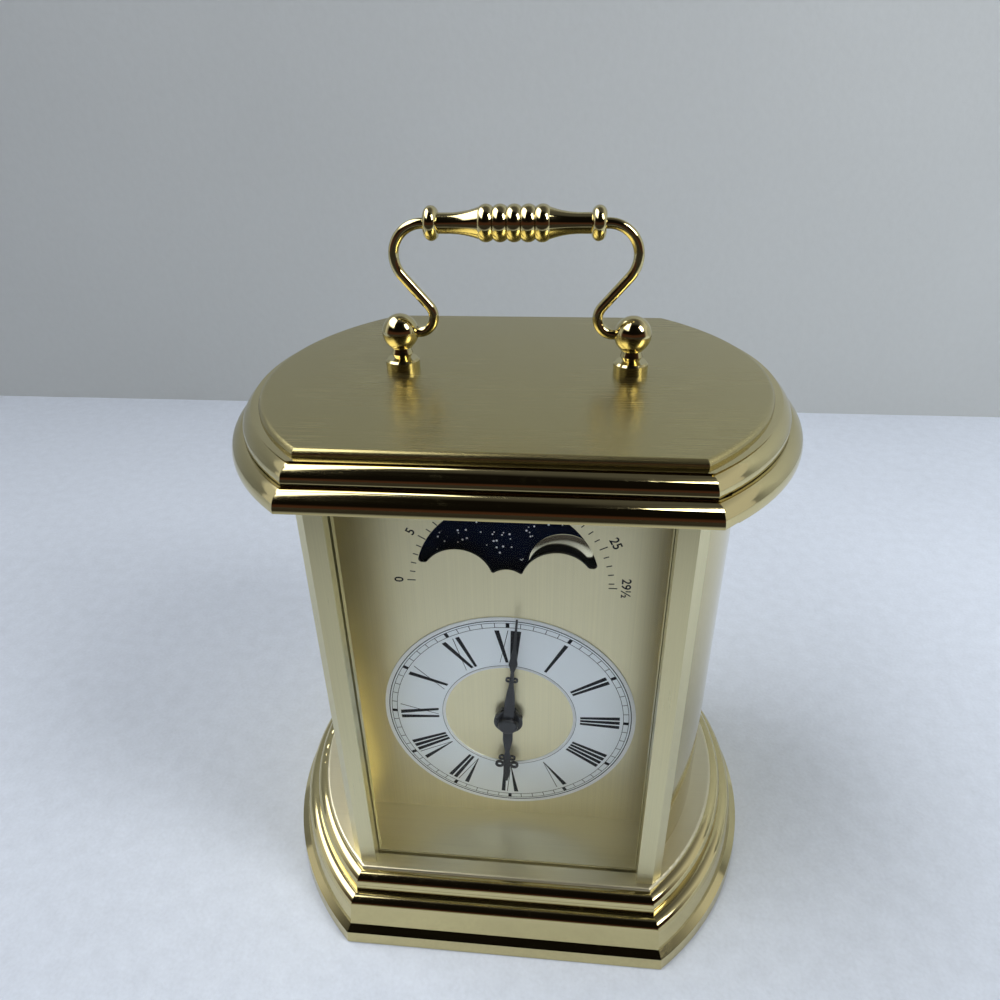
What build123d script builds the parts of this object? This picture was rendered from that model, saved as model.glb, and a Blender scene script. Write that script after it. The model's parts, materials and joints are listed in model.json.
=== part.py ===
"""Moon phase desk clock: a brass case on a plan with bowed sides, and a quartz movement.

Millimetres, +Z up, front towards -Y. The origin is the middle of the resting face.
"""

from build123d import *
from math import acos, atan2, cos, hypot, radians, sin, sqrt
import os

# Driving dimensions of the case: the deck's plan, and the stack from the deck to the hands' axis,
# on to the moon's axis and on to the cap
deck_half_depth = 62.8
deck_half_width = 77.1
hand_axis_rise = 49.1
moon_axis_rise = 56.5
moon_axis_head = 41.4

# Clearances
rim_lift = 0.5
running_clearance = 0.06
fit_clearance = 0.1
free_clearance = 0.4
overrun = 5.0

# Plan: straight front and back, each side an arc. The brushed top and the panels keep to the deck
deck_corner_inset = 4.2
top_front_setback = 3.4
top_side_setback = 1.8
top_corner_gain = 0.7
panel_side_setback = 6.7

# Cap: a thin brushed plate over two rolls
top_plate_thickness = 2.0
top_plate_round = 1.7
upper_roll_height = 5.4
upper_roll_start = 4.0
lower_roll_height = 6.0
lower_roll_start = 7.7
cap_web = 2.0
cap_rim = 8.0
stud_boss_radius = 5.0

# Base from the deck down: bead, roll, band, roll, flared band, chamfer and foot band
deck_thickness = 1.0
deck_bead_radius = 0.9
upper_ovolo_start = 1.2
upper_ovolo_radius = 3.6
upper_band_height = 2.8
upper_band_flare = 0.4
lower_ovolo_step = 0.6
lower_ovolo_radius = 3.4
tall_band_height = 6.8
tall_band_flare = 1.4
foot_band_height = 4.7
foot_chamfer_height = 1.8
foot_chamfer_reach = 2.3
foot_flare = 0.4
base_wall = 2.5
base_web = 2.6
base_ledge = 2.0
bottom_plate_thickness = 1.5
felt_thickness = 1.0
felt_margin = 2.0
boss_radius = 4.0
boss_spread_x = 34.0
boss_inset_y = 8.8

# Corner posts
post_inner = 45.2
post_margin = 1.3
post_width = 8.3
post_depth = 8.0
post_chamfer = 3.0
post_screw_inset_x = 4.8
post_screw_inset_y = 3.5
post_tap_depth = 9.0
post_screw_bite = 8.0

# Side panels
panel_seat = 5.25
panel_thickness = 1.5
panel_groove = 1.6

# Front glass
glass_thickness = 2.0
glass_setback = 3.7
glass_groove = 2.0
glass_seat = 0.6
glass_head = 1.0

# Machine screws of the case
screw_radius = 1.5
screw_head_radius = 2.8
screw_head_height = 2.2
slot_width = 0.8
slot_depth = 0.7
bottom_screw_length = 8.0

# Small screws
small_screw_radius = 1.1
small_head_radius = 2.1
small_head_height = 1.2
small_slot_width = 0.5
small_slot_depth = 0.5
small_screw_bite = 2.6

# Dial plate with its turned-over feet and moon window, and the chapter ring
dial_setback = 25.3
dial_thickness = 1.0
dial_side_gap = 0.5
dial_foot_length = 12.0
dial_foot_depth = 8.0
dial_foot_spread = 46.0
ring_deck_gap = 6.2
ring_inner = 21.9
ring_thickness = 0.3
arch_radius = 28.0
hump_radius = 11.0
hump_spread = 15.3
middle_hump_radius = 6.2
middle_hump_drop = 1.8
tip_rise = 5.9
tip_round = 1.1
cusp_round = 0.7

# Moon disc
moon_disc_radius = 29.5
moon_disc_thickness = 0.8
moon_disc_gap = 2.8
moon_arbor_radius = 1.5
moon_boss_radius = 3.0
moon_boss_height = 1.0

# Quartz movement
movement_gap = 5.4
movement_half_width = 28.0
movement_drop = 29.0
movement_rise = 27.0
tower_half_width = 13.0
tower_rise = 9.0
movement_round = 3.0
cover_thickness = 1.6
cover_screw_spread = 22.0
cover_screw_drop = 5.5
spacer_radius = 8.0
bush_radius = 3.9
bush_stand = 0.2
nut_flats_radius = 4.1
bush_nut_height = 1.4
battery_radius = 7.1
battery_length = 49.2
battery_cap_radius = 2.7
battery_cap_length = 1.3
battery_drop = 19.5
battery_inset = 0.2
bay_wall = 1.6
contact_thickness = 0.5
contact_half_width = 4.5

# Hands and their arbors
hour_pipe_radius = 2.4
hour_pipe_depth = 5.0
minute_arbor_radius = 1.4
minute_arbor_depth = 9.0
hand_thickness = 0.5
hand_lift = 0.8
hour_hand_reach = 7.1
hour_hub_radius = 4.9
minute_hand_overlap = 2.1
minute_hub_radius = 3.5
hand_cap_radius = 3.3
hand_cap_height = 1.1
hand_cap_round = 0.7
minute_hand_angle = 4.2
hour_hand_angle = 182.0
pierced_share = 0.45

# Half outlines of the hands, as shares of the length: distance from the axis, half width
minute_hand_shares = (
    (0.22, 0.038), (0.32, 0.029), (0.395, 0.018), (0.53, 0.012), (0.6, 0.032), (0.73, 0.011), (1.0, 0.007)
)
hour_hand_shares = ((0.3, 0.058), (0.5, 0.025), (0.58, 0.042), (0.75, 0.04), (0.88, 0.04), (1.0, 0.014))
# Scrolls of the hands, as shares of the length: distance, offset from the middle, radius
minute_scroll_shares = ((0.45, 0.024, 0.022),)
hour_scroll_shares = ((0.6, 0.062, 0.042), (0.715, 0.088, 0.054))

# Setting knobs on the back of the movement
time_knob_radius = 7.0
moon_knob_radius = 5.0
knob_height = 4.0
knob_gap = 0.8
knob_shaft_radius = 1.5
knob_shaft_depth = 5.0
time_knob_offset = 14.0
time_knob_rise = 8.0
knob_flutes = 12
knob_flute_share = 0.13

# Rear door
door_thickness = 1.6
door_rod_radius = 2.2
door_pin_radius = 1.0
door_pin_length = 2.4
door_pin_slack = 0.3
door_gap = 0.5
door_line_inset = 3.7
door_knob_radius = 3.4
door_knob_neck = 2.0
door_knob_reach = 8.5
door_knob_collar_radius = 3.2
door_knob_collar_height = 0.8
door_knob_inset = 9.0
strike_radius = 2.5
strike_thickness = 0.6
strike_drop = 3.2
catch_width = 10.0
catch_height = 6.0
catch_depth = 4.0
catch_gap = 0.3

# Bail handle: turned grip, bent wires and ball finials
finial_spread = 35.4
finial_foot_radius = 5.3
finial_foot_height = 3.3
finial_foot_chamfer = 0.6
finial_waist_radius = 1.9
finial_collar_radius = 2.6
finial_collar_rise = 4.9
finial_neck_radius = 2.2
finial_bead_radius = 2.7
finial_bead_rise = 6.6
finial_bead_height = 1.2
ball_radius = 4.95
eye_rise = 11.5
stud_radius = 1.75
stud_length = 11.6
stud_tip_slack = 0.4
wire_radius = 1.55
wire_top_bend = 9.0
wire_low_bend = 4.9
wire_reach = 35.6
wire_pinch = 24.7
wire_tongue = 6.0
wire_eye_depth = 1.4
grip_rise = 43.2
grip_half_length = 26.0
bead_radius = 4.85
bead_half_width = 2.1
neck_radius = 2.9
neck_place = 18.8
ridge_radius = 5.2
groove_radius = 4.4
ridge_pitch = 4.03
ridge_pairs = 2



def bowed_side(half_depth, corner_x, half_width):
    """Radius of the arc of a side, and how far past the middle its centre stands.

    The arc meets the front and back at the corner, and its widest point is at the half width.
    """
    bow = half_width - corner_x
    radius = (half_depth**2 + bow**2) / (2 * bow)
    return radius, radius - half_width


# Levels and places that follow
foot_top = rim_lift + foot_band_height
tall_band_bottom = foot_top + foot_chamfer_height
tall_band_top = tall_band_bottom + tall_band_height
upper_band_bottom = tall_band_top + lower_ovolo_radius
upper_band_top = upper_band_bottom + upper_band_height
moulding_top = upper_band_top + upper_ovolo_radius
deck_top = moulding_top + deck_thickness
hand_axis_height = deck_top + hand_axis_rise
moon_axis_height = hand_axis_height + moon_axis_rise
cap_bottom = moon_axis_height + moon_axis_head
roll_joint = cap_bottom + lower_roll_height
cap_shell_top = roll_joint + upper_roll_height
case_height = cap_shell_top + top_plate_thickness
ceiling_top = cap_bottom + cap_web
upper_web_bottom = cap_shell_top - cap_web
base_web_bottom = moulding_top - base_web
bottom_plate_top = felt_thickness + bottom_plate_thickness
upper_band_start = upper_ovolo_start + upper_ovolo_radius
upper_band_end = upper_band_start + upper_band_flare
lower_ovolo_start = upper_band_end + lower_ovolo_step
tall_band_start = lower_ovolo_start + lower_ovolo_radius
tall_band_end = tall_band_start + tall_band_flare
foot_start = tall_band_end + foot_chamfer_reach
foot_reach = foot_start + foot_flare
wide_cavity_reach = tall_band_start - base_wall
narrow_cavity_reach = upper_band_end - base_wall
ledge_reach = wide_cavity_reach + base_ledge
post_front = deck_half_depth - post_margin
post_back = post_front - post_depth
post_outer = post_inner + post_width
deck_corner_x = post_outer - deck_corner_inset
top_half_depth = deck_half_depth - top_front_setback
deck_arc_radius, deck_arc_inset = bowed_side(deck_half_depth, deck_corner_x, deck_half_width)
top_arc_radius, top_arc_inset = bowed_side(
    top_half_depth, deck_corner_x + top_corner_gain, deck_half_width - top_side_setback
)
panel_arc_radius, panel_arc_inset = bowed_side(
    post_back, post_inner + panel_seat, deck_half_width - panel_side_setback
)
post_screw_x = post_inner + post_screw_inset_x
post_screw_y = post_front - post_screw_inset_y
post_middle = (deck_top + cap_bottom) / 2
panel_half_depth = post_back + panel_groove - fit_clearance
glass_front = post_front - glass_setback
dial_front = post_front - dial_setback
ring_outer = hand_axis_rise - ring_deck_gap
minute_hand_length = ring_outer + minute_hand_overlap
hour_hand_length = ring_inner + hour_hand_reach
dial_back = dial_front - dial_thickness
panel_inner_radius = panel_arc_radius - panel_thickness
dial_half_width = sqrt(panel_inner_radius**2 - dial_front**2) - panel_arc_inset - dial_side_gap
dial_screw_line = dial_back - dial_foot_depth / 2
moon_disc_front = dial_back - moon_disc_gap
moon_disc_back = moon_disc_front - moon_disc_thickness
movement_front = dial_back - movement_gap
battery_line = movement_front - bay_wall - battery_radius
movement_back = battery_line - battery_radius - battery_inset
cover_back = movement_back - cover_thickness
knob_front = cover_back - knob_gap
knob_back = knob_front - knob_height
bay_half_length = (battery_length + battery_cap_length) / 2 + contact_thickness
battery_height = hand_axis_height - battery_drop
bay_top = battery_height + battery_radius + free_clearance
bush_nut_front = dial_front + bush_nut_height
bush_front = bush_nut_front + bush_stand
hour_hand_back = bush_front + hand_lift
hour_hand_front = hour_hand_back + hand_thickness
minute_hand_back = hour_hand_front + hand_lift
minute_hand_front = minute_hand_back + hand_thickness
time_knob_height = hand_axis_height + time_knob_rise
door_low = deck_top + door_gap
door_high = cap_bottom - door_gap
door_line = post_front - door_line_inset
door_hinge_x = post_inner - door_rod_radius - free_clearance
door_edge_x = post_inner - door_gap
door_knob_x = door_edge_x - door_knob_inset
door_inside = door_line - door_thickness / 2
door_outside = door_line + door_thickness / 2
strike_height = door_high - strike_drop
eye_height = case_height + eye_rise
grip_height = case_height + grip_rise

post_screw_places = [(x, y) for x in (-post_screw_x, post_screw_x) for y in (-post_screw_y, post_screw_y)]
boss_spread_y = deck_half_depth - boss_inset_y
boss_places = [(x, y) for x in (-boss_spread_x, boss_spread_x) for y in (-boss_spread_y, boss_spread_y)]
dial_screw_places = [(x, -dial_screw_line) for x in (-dial_foot_spread, dial_foot_spread)]
stud_places = [(-finial_spread, 0), (finial_spread, 0)]
door_pin_place = (door_hinge_x, door_line)

os.makedirs("parts", exist_ok=True)


def finish(builder, name):
    """Label a finished piece and write its STEP file."""
    builder.part.label = name
    export_step(builder.part, "parts/" + name + ".step")


def front_plane(distance, x=0, z=0, angle=0):
    """Plane that faces the front at a distance from the middle, turned clockwise by an angle."""
    turn = radians(angle)
    return Plane(origin=(x, -distance, z), x_dir=(cos(turn), 0, -sin(turn)), z_dir=(0, -1, 0))


def side_plane(side):
    """Upright plane through the middle whose first axis points to one side, -1 left or 1 right."""
    return Plane(origin=(0, 0, 0), x_dir=(side, 0, 0), z_dir=(0, -side, 0))


def arc_sided_block(half_profile, half_depth, arc_radius, arc_inset):
    """Block whose straight front and back and both arc sides follow one half profile.

    Half a bar with the profile on its front and back is cut down by a turned disc of the same profile
    and then mirrored, so the mouldings mitre at the four corners.
    """
    with BuildPart() as block:
        with BuildSketch(Plane.YZ):
            with BuildLine():
                half_profile(half_depth)
            make_face()
            mirror(about=Plane.YZ)
        extrude(amount=2 * arc_radius)
        with BuildSketch(Plane(origin=(-arc_inset, 0, 0), x_dir=(1, 0, 0), z_dir=(0, -1, 0))):
            with BuildLine():
                half_profile(arc_radius)
            make_face()
        revolve(axis=Axis((-arc_inset, 0, 0), (0, 0, 1)), mode=Mode.INTERSECT)
        mirror(about=Plane.YZ)
    return block.part


def slab_profile(reach, low, high):
    """Half profile of a plain slab between two levels that reaches past the outline."""
    def half_profile(edge):
        Polyline((0, low), (edge + reach, low), (edge + reach, high), (0, high), close=True)
    return half_profile


def rounded_plate_profile(rounding, low, high):
    """Half profile of a plate whose upper edge is rounded, past the outline of its flat top."""
    def half_profile(edge):
        Polyline((0, high), (0, low), (edge + rounding, low), (edge + rounding, high - rounding))
        RadiusArc((edge + rounding, high - rounding), (edge, high), -rounding)
        Line((edge, high), (0, high))
    return half_profile


def roll_profile(start, low, high):
    """Half profile of a plate with a half-round edge."""
    def half_profile(edge):
        radius = (high - low) / 2
        Polyline((edge + start, high), (0, high), (0, low), (edge + start, low))
        ThreePointArc((edge + start, low), (edge + start + radius, low + radius), (edge + start, high))
    return half_profile


def base_profile(edge):
    """Half profile of the base moulding: foot band, chamfer, flared band and two quarter rounds."""
    Polyline(
        (edge + upper_ovolo_start, moulding_top),
        (0, moulding_top),
        (0, rim_lift),
        (edge + foot_reach, rim_lift),
        (edge + foot_start, foot_top),
        (edge + tall_band_end, tall_band_bottom),
        (edge + tall_band_start, tall_band_top),
    )
    RadiusArc(
        (edge + tall_band_start, tall_band_top), (edge + lower_ovolo_start, upper_band_bottom), -lower_ovolo_radius
    )
    Polyline(
        (edge + lower_ovolo_start, upper_band_bottom),
        (edge + upper_band_end, upper_band_bottom),
        (edge + upper_band_start, upper_band_top),
    )
    RadiusArc(
        (edge + upper_band_start, upper_band_top), (edge + upper_ovolo_start, moulding_top), -upper_ovolo_radius
    )


def base_cavity_profile(edge):
    """Half profile of the stepped hollow under the base moulding, with the ledge for its plate."""
    Polyline(
        (0, -overrun),
        (edge + ledge_reach, -overrun),
        (edge + ledge_reach, bottom_plate_top),
        (edge + wide_cavity_reach, bottom_plate_top),
        (edge + wide_cavity_reach, tall_band_top),
        (edge + narrow_cavity_reach, tall_band_top),
        (edge + narrow_cavity_reach, base_web_bottom),
        (0, base_web_bottom),
        close=True,
    )


def slotted_screws(name, places, seats, bite, radius, head_radius, head_height, width, depth):
    """Slotted screws in one node. Each seat is its height and the way up of its head, 1 or -1."""
    with BuildPart() as screws:
        for seat, way in seats:
            for start, size, length in ((seat, radius, -way * bite), (seat, head_radius, way * head_height)):
                with BuildSketch(Plane.XY.offset(start)):
                    with Locations(*places):
                        Circle(size)
                extrude(amount=length)
            with BuildSketch(Plane.XY.offset(seat + way * head_height)):
                with Locations(*places):
                    Rectangle(2 * head_radius + overrun, width)
            extrude(amount=-way * depth, mode=Mode.SUBTRACT)
    finish(screws, name)


def countersunk_screws(name, places, face, way, length):
    """Flat-headed screws in one node, with their heads flush with a face and their tips way down or up."""
    with BuildPart() as screws:
        for x, y in places:
            with BuildSketch(Plane(origin=(x, y, face), x_dir=(1, 0, 0), z_dir=(0, -1, 0))):
                Polygon(
                    (0, 0),
                    (screw_head_radius, 0),
                    (screw_radius, way * (screw_head_radius - screw_radius)),
                    (screw_radius, way * length),
                    (0, way * length),
                    align=None,
                )
            revolve(axis=Axis((x, y, 0), (0, 0, 1)))
        with BuildSketch(Plane.XY.offset(face)):
            with Locations(*places):
                Rectangle(2 * screw_head_radius + overrun, slot_width)
        extrude(amount=way * slot_depth, mode=Mode.SUBTRACT)
    finish(screws, name)


def cut_countersinks(places, face, way):
    """Cut the conical seats of flat-headed screws into the piece being made."""
    top = screw_head_radius + fit_clearance
    low = screw_radius + fit_clearance
    for x, y in places:
        with BuildSketch(Plane(origin=(x, y, face), x_dir=(1, 0, 0), z_dir=(0, -1, 0))) as cone:
            Polygon((0, 0), (top, 0), (low, way * (top - low)), (0, way * (top - low)), align=None)
        revolve(cone.sketch, axis=Axis((x, y, 0), (0, 0, 1)), mode=Mode.SUBTRACT)


def bore(places, radius, low, high):
    """Cut upright round holes between two heights into the piece being made."""
    with BuildSketch(Plane.XY.offset(low)) as holes:
        with Locations(*places):
            Circle(radius)
    extrude(holes.sketch, amount=high - low, mode=Mode.SUBTRACT)


def disc_along_y(x, z, radius, front, back, mode=Mode.ADD):
    """Round bar or hole across the clock, between two distances in front of the middle."""
    with BuildSketch(front_plane(front, x, z)) as section:
        Circle(radius)
    extrude(section.sketch, amount=back - front, mode=mode)


def block_between(x_low, x_high, front, back, low, high, mode=Mode.ADD):
    """Square block between two sides, two distances in front of the middle and two heights."""
    with BuildSketch(Plane.XY.offset(low)) as section:
        with Locations(((x_low + x_high) / 2, -(front + back) / 2)):
            Rectangle(x_high - x_low, front - back)
    extrude(section.sketch, amount=high - low, mode=mode)


# Base moulding, hollow below a web that carries the posts
base_outside = arc_sided_block(base_profile, deck_half_depth, deck_arc_radius, deck_arc_inset)
base_hollow = arc_sided_block(base_cavity_profile, deck_half_depth, deck_arc_radius, deck_arc_inset)
with BuildPart() as base_moulding:
    add(base_outside)
    add(base_hollow, mode=Mode.SUBTRACT)
    with BuildSketch(Plane.XY.offset(bottom_plate_top)):
        with Locations(*boss_places):
            Circle(boss_radius)
    extrude(amount=base_web_bottom - bottom_plate_top)
    bore(boss_places, screw_radius, bottom_plate_top, bottom_plate_top + bottom_screw_length)
    bore(post_screw_places, screw_radius + fit_clearance, base_web_bottom, moulding_top)
    bore(dial_screw_places, small_screw_radius, deck_top + dial_thickness - small_screw_bite, moulding_top)
    bore(
        [door_pin_place], door_pin_radius + running_clearance,
        door_low - door_pin_length - door_pin_slack, moulding_top,
    )
finish(base_moulding, "base_moulding")

# Brushed deck with the seat of the glass
deck_block = arc_sided_block(
    rounded_plate_profile(deck_bead_radius, moulding_top, deck_top),
    deck_half_depth, deck_arc_radius, deck_arc_inset,
)
with BuildPart() as base_deck:
    add(deck_block)
    bore(post_screw_places, screw_radius + fit_clearance, moulding_top, deck_top)
    bore(dial_screw_places, small_screw_radius + fit_clearance, moulding_top, deck_top)
    bore([door_pin_place], door_pin_radius + running_clearance, moulding_top, deck_top)
    block_between(
        -post_inner - glass_groove, post_inner + glass_groove,
        glass_front + fit_clearance, glass_front - glass_thickness - fit_clearance,
        deck_top - glass_seat, deck_top + overrun, mode=Mode.SUBTRACT,
    )
finish(base_deck, "base_deck")

# Bottom plate, its screws and the felt
plate_block = arc_sided_block(
    slab_profile(ledge_reach - fit_clearance, felt_thickness, bottom_plate_top),
    deck_half_depth, deck_arc_radius, deck_arc_inset,
)
with BuildPart() as bottom_plate:
    add(plate_block)
    bore(boss_places, screw_radius + fit_clearance, felt_thickness, bottom_plate_top)
    cut_countersinks(boss_places, felt_thickness, 1)
finish(bottom_plate, "bottom_plate")
countersunk_screws("bottom_plate_screws", boss_places, felt_thickness, 1, bottom_screw_length)

felt_block = arc_sided_block(
    slab_profile(ledge_reach - felt_margin, 0, felt_thickness), deck_half_depth, deck_arc_radius, deck_arc_inset
)
with BuildPart() as felt_pad:
    add(felt_block)
finish(felt_pad, "felt_pad")


def corner_post(name, side, end):
    """One corner post, side -1 left or 1 right, end -1 front or 1 rear, with the grooves it needs."""
    inner, outer = post_inner * side, post_outer * side
    with BuildPart() as post:
        with BuildSketch(Plane.XY.offset(deck_top)):
            with BuildLine():
                Polyline(
                    (inner, post_front * end),
                    (outer - post_chamfer * side, post_front * end),
                    (outer, (post_front - post_chamfer) * end),
                    (outer, post_back * end),
                    (inner, post_back * end),
                    close=True,
                )
            make_face()
        extrude(amount=cap_bottom - deck_top)
        with BuildSketch(Plane.XY.offset(deck_top)):
            with Locations((-panel_arc_inset * side, 0)):
                Circle(panel_arc_radius + fit_clearance)
                Circle(panel_inner_radius - fit_clearance, mode=Mode.SUBTRACT)
            Rectangle(2 * post_outer + overrun, 2 * (panel_half_depth + fit_clearance), mode=Mode.INTERSECT)
        extrude(amount=cap_bottom - deck_top, mode=Mode.SUBTRACT)
        if end < 0:
            block_between(
                -post_inner - glass_groove, post_inner + glass_groove,
                glass_front + fit_clearance, glass_front - glass_thickness - fit_clearance,
                deck_top, cap_bottom, mode=Mode.SUBTRACT,
            )
        place = [(post_screw_x * side, post_screw_y * end)]
        bore(place, screw_radius, deck_top, deck_top + post_tap_depth)
        bore(place, screw_radius, cap_bottom - post_tap_depth, cap_bottom)
    finish(post, name)


corner_post("front_left_post", -1, -1)
corner_post("front_right_post", 1, -1)
corner_post("rear_left_post", -1, 1)
corner_post("rear_right_post", 1, 1)
slotted_screws(
    "lower_post_screws", post_screw_places, [(base_web_bottom, -1)], deck_top - base_web_bottom + post_screw_bite,
    screw_radius, screw_head_radius, screw_head_height, slot_width, slot_depth,
)


def side_panel(name, side):
    """One bowed side panel, a strip of a tube that ends inside the posts' grooves."""
    with BuildPart() as panel:
        with BuildSketch(Plane.XY.offset(deck_top)):
            with Locations((-panel_arc_inset * side, 0)):
                Circle(panel_arc_radius)
                Circle(panel_inner_radius, mode=Mode.SUBTRACT)
            with Locations(((post_inner + panel_arc_radius) * side, 0)):
                Rectangle(2 * panel_arc_radius, 2 * panel_half_depth, mode=Mode.INTERSECT)
        extrude(amount=cap_bottom - deck_top)
    finish(panel, name)


side_panel("side_panel_left", -1)
side_panel("side_panel_right", 1)

# Cap: lower moulding screwed to the posts, upper moulding and top plate clamped by the finials
lower_block = arc_sided_block(
    roll_profile(lower_roll_start, cap_bottom, roll_joint), top_half_depth, top_arc_radius, top_arc_inset
)
lower_pocket = arc_sided_block(
    slab_profile(-cap_rim, ceiling_top, roll_joint + overrun), top_half_depth, top_arc_radius, top_arc_inset
)
with BuildPart() as cap_lower_moulding:
    add(lower_block)
    add(lower_pocket, mode=Mode.SUBTRACT)
    with BuildSketch(Plane.XY.offset(ceiling_top)):
        with Locations(*stud_places):
            Circle(stud_boss_radius)
    extrude(amount=roll_joint - ceiling_top)
    bore(stud_places, stud_radius, case_height - stud_length - stud_tip_slack, roll_joint)
    bore(post_screw_places, screw_radius + fit_clearance, cap_bottom, roll_joint)
    cut_countersinks(post_screw_places, roll_joint, -1)
    bore(dial_screw_places, small_screw_radius, cap_bottom, cap_bottom - dial_thickness + small_screw_bite)
    bore(
        [door_pin_place], door_pin_radius + running_clearance,
        cap_bottom, door_high + door_pin_length + door_pin_slack,
    )
    block_between(
        -post_inner - glass_groove, post_inner + glass_groove,
        glass_front + fit_clearance, glass_front - glass_thickness - fit_clearance,
        cap_bottom, cap_bottom + glass_head, mode=Mode.SUBTRACT,
    )
finish(cap_lower_moulding, "cap_lower_moulding")
countersunk_screws(
    "upper_post_screws", post_screw_places, roll_joint, -1, roll_joint - cap_bottom + post_screw_bite
)

upper_block = arc_sided_block(
    roll_profile(upper_roll_start, roll_joint, cap_shell_top), top_half_depth, top_arc_radius, top_arc_inset
)
upper_pocket = arc_sided_block(
    slab_profile(-cap_rim, roll_joint - overrun, upper_web_bottom), top_half_depth, top_arc_radius, top_arc_inset
)
with BuildPart() as cap_upper_moulding:
    add(upper_block)
    add(upper_pocket, mode=Mode.SUBTRACT)
    bore(stud_places, stud_radius + fit_clearance, upper_web_bottom, cap_shell_top)
finish(cap_upper_moulding, "cap_upper_moulding")

top_block = arc_sided_block(
    rounded_plate_profile(top_plate_round, cap_shell_top, case_height),
    top_half_depth, top_arc_radius, top_arc_inset,
)
with BuildPart() as cap_top_plate:
    add(top_block)
    bore(stud_places, stud_radius + fit_clearance, cap_shell_top, case_height)
finish(cap_top_plate, "cap_top_plate")

# Front glass, held by grooves all round
with BuildPart() as front_glass:
    block_between(
        -post_inner - glass_groove + fit_clearance, post_inner + glass_groove - fit_clearance,
        glass_front, glass_front - glass_thickness,
        deck_top - glass_seat, cap_bottom + glass_head - fit_clearance,
    )
finish(front_glass, "front_glass")

# Dial plate with the moon window, standing on feet turned back from its lower and upper edges
with BuildPart() as dial_plate:
    block_between(-dial_half_width, dial_half_width, dial_front, dial_back, deck_top, cap_bottom)
    for foot_x in (-dial_foot_spread, dial_foot_spread):
        for foot_low in (deck_top, cap_bottom - dial_thickness):
            block_between(
                foot_x - dial_foot_length / 2, foot_x + dial_foot_length / 2,
                dial_back, dial_back - dial_foot_depth, foot_low, foot_low + dial_thickness,
            )
    bore(dial_screw_places, small_screw_radius + fit_clearance, deck_top, deck_top + dial_thickness)
    bore(dial_screw_places, small_screw_radius + fit_clearance, cap_bottom - dial_thickness, cap_bottom)
    with BuildSketch(front_plane(dial_front, 0, moon_axis_height)) as window:
        Circle(arch_radius)
        with Locations((-hump_spread, 0), (hump_spread, 0)):
            Circle(hump_radius, mode=Mode.SUBTRACT)
        with Locations((0, -middle_hump_drop)):
            Circle(middle_hump_radius, mode=Mode.SUBTRACT)
        with Locations((0, -arch_radius)):
            Rectangle(2 * arch_radius, 2 * arch_radius, mode=Mode.SUBTRACT)
        with Locations((-hump_spread - arch_radius, 0), (hump_spread + arch_radius, 0)):
            Rectangle(2 * arch_radius, 2 * tip_rise, mode=Mode.SUBTRACT)
        fillet(window.vertices().filter_by_position(Axis.Y, 0, tip_rise / 2 + cusp_round), cusp_round)
        fillet(window.vertices().group_by(Axis.Y)[-1], tip_round)
    extrude(amount=-dial_thickness, mode=Mode.SUBTRACT)
    disc_along_y(0, hand_axis_height, bush_radius + fit_clearance, dial_front, dial_back, mode=Mode.SUBTRACT)
finish(dial_plate, "dial_plate")
slotted_screws(
    "dial_screws", dial_screw_places, [(deck_top + dial_thickness, 1), (cap_bottom - dial_thickness, -1)],
    small_screw_bite, small_screw_radius, small_head_radius, small_head_height, small_slot_width, small_slot_depth,
)

with BuildPart() as chapter_ring:
    with BuildSketch(front_plane(dial_front, 0, hand_axis_height)):
        Circle(ring_outer)
        Circle(ring_inner, mode=Mode.SUBTRACT)
    extrude(amount=ring_thickness)
finish(chapter_ring, "chapter_ring")

# Moon disc on its arbor
with BuildPart() as moon_disc:
    disc_along_y(0, moon_axis_height, moon_disc_radius, moon_disc_front, moon_disc_back)
    disc_along_y(0, moon_axis_height, moon_boss_radius, moon_disc_back, moon_disc_back - moon_boss_height)
    disc_along_y(
        0, moon_axis_height, moon_arbor_radius, moon_disc_front, moon_disc_back - moon_boss_height, mode=Mode.SUBTRACT
    )
finish(moon_disc, "moon_disc")

with BuildPart() as moon_arbor:
    disc_along_y(0, moon_axis_height, moon_arbor_radius, moon_disc_front, knob_back + knob_height / 2)
finish(moon_arbor, "moon_arbor")


def movement_outline(low):
    """Outline of the movement from a lower edge up, with the narrow tower that reaches the moon arbor."""
    with BuildLine() as outline:
        Polyline(
            (-movement_half_width, low),
            (movement_half_width, low),
            (movement_half_width, movement_rise),
            (tower_half_width, movement_rise),
            (tower_half_width, moon_axis_rise + tower_rise),
            (-tower_half_width, moon_axis_rise + tower_rise),
            (-tower_half_width, movement_rise),
            (-movement_half_width, movement_rise),
            close=True,
        )
    make_face(outline.edges())


cover_low = bay_top + bay_wall - hand_axis_height
cover_screw_height = hand_axis_height + movement_rise - cover_screw_drop
cover_screw_places = [(-cover_screw_spread, cover_screw_height), (cover_screw_spread, cover_screw_height)]

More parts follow.
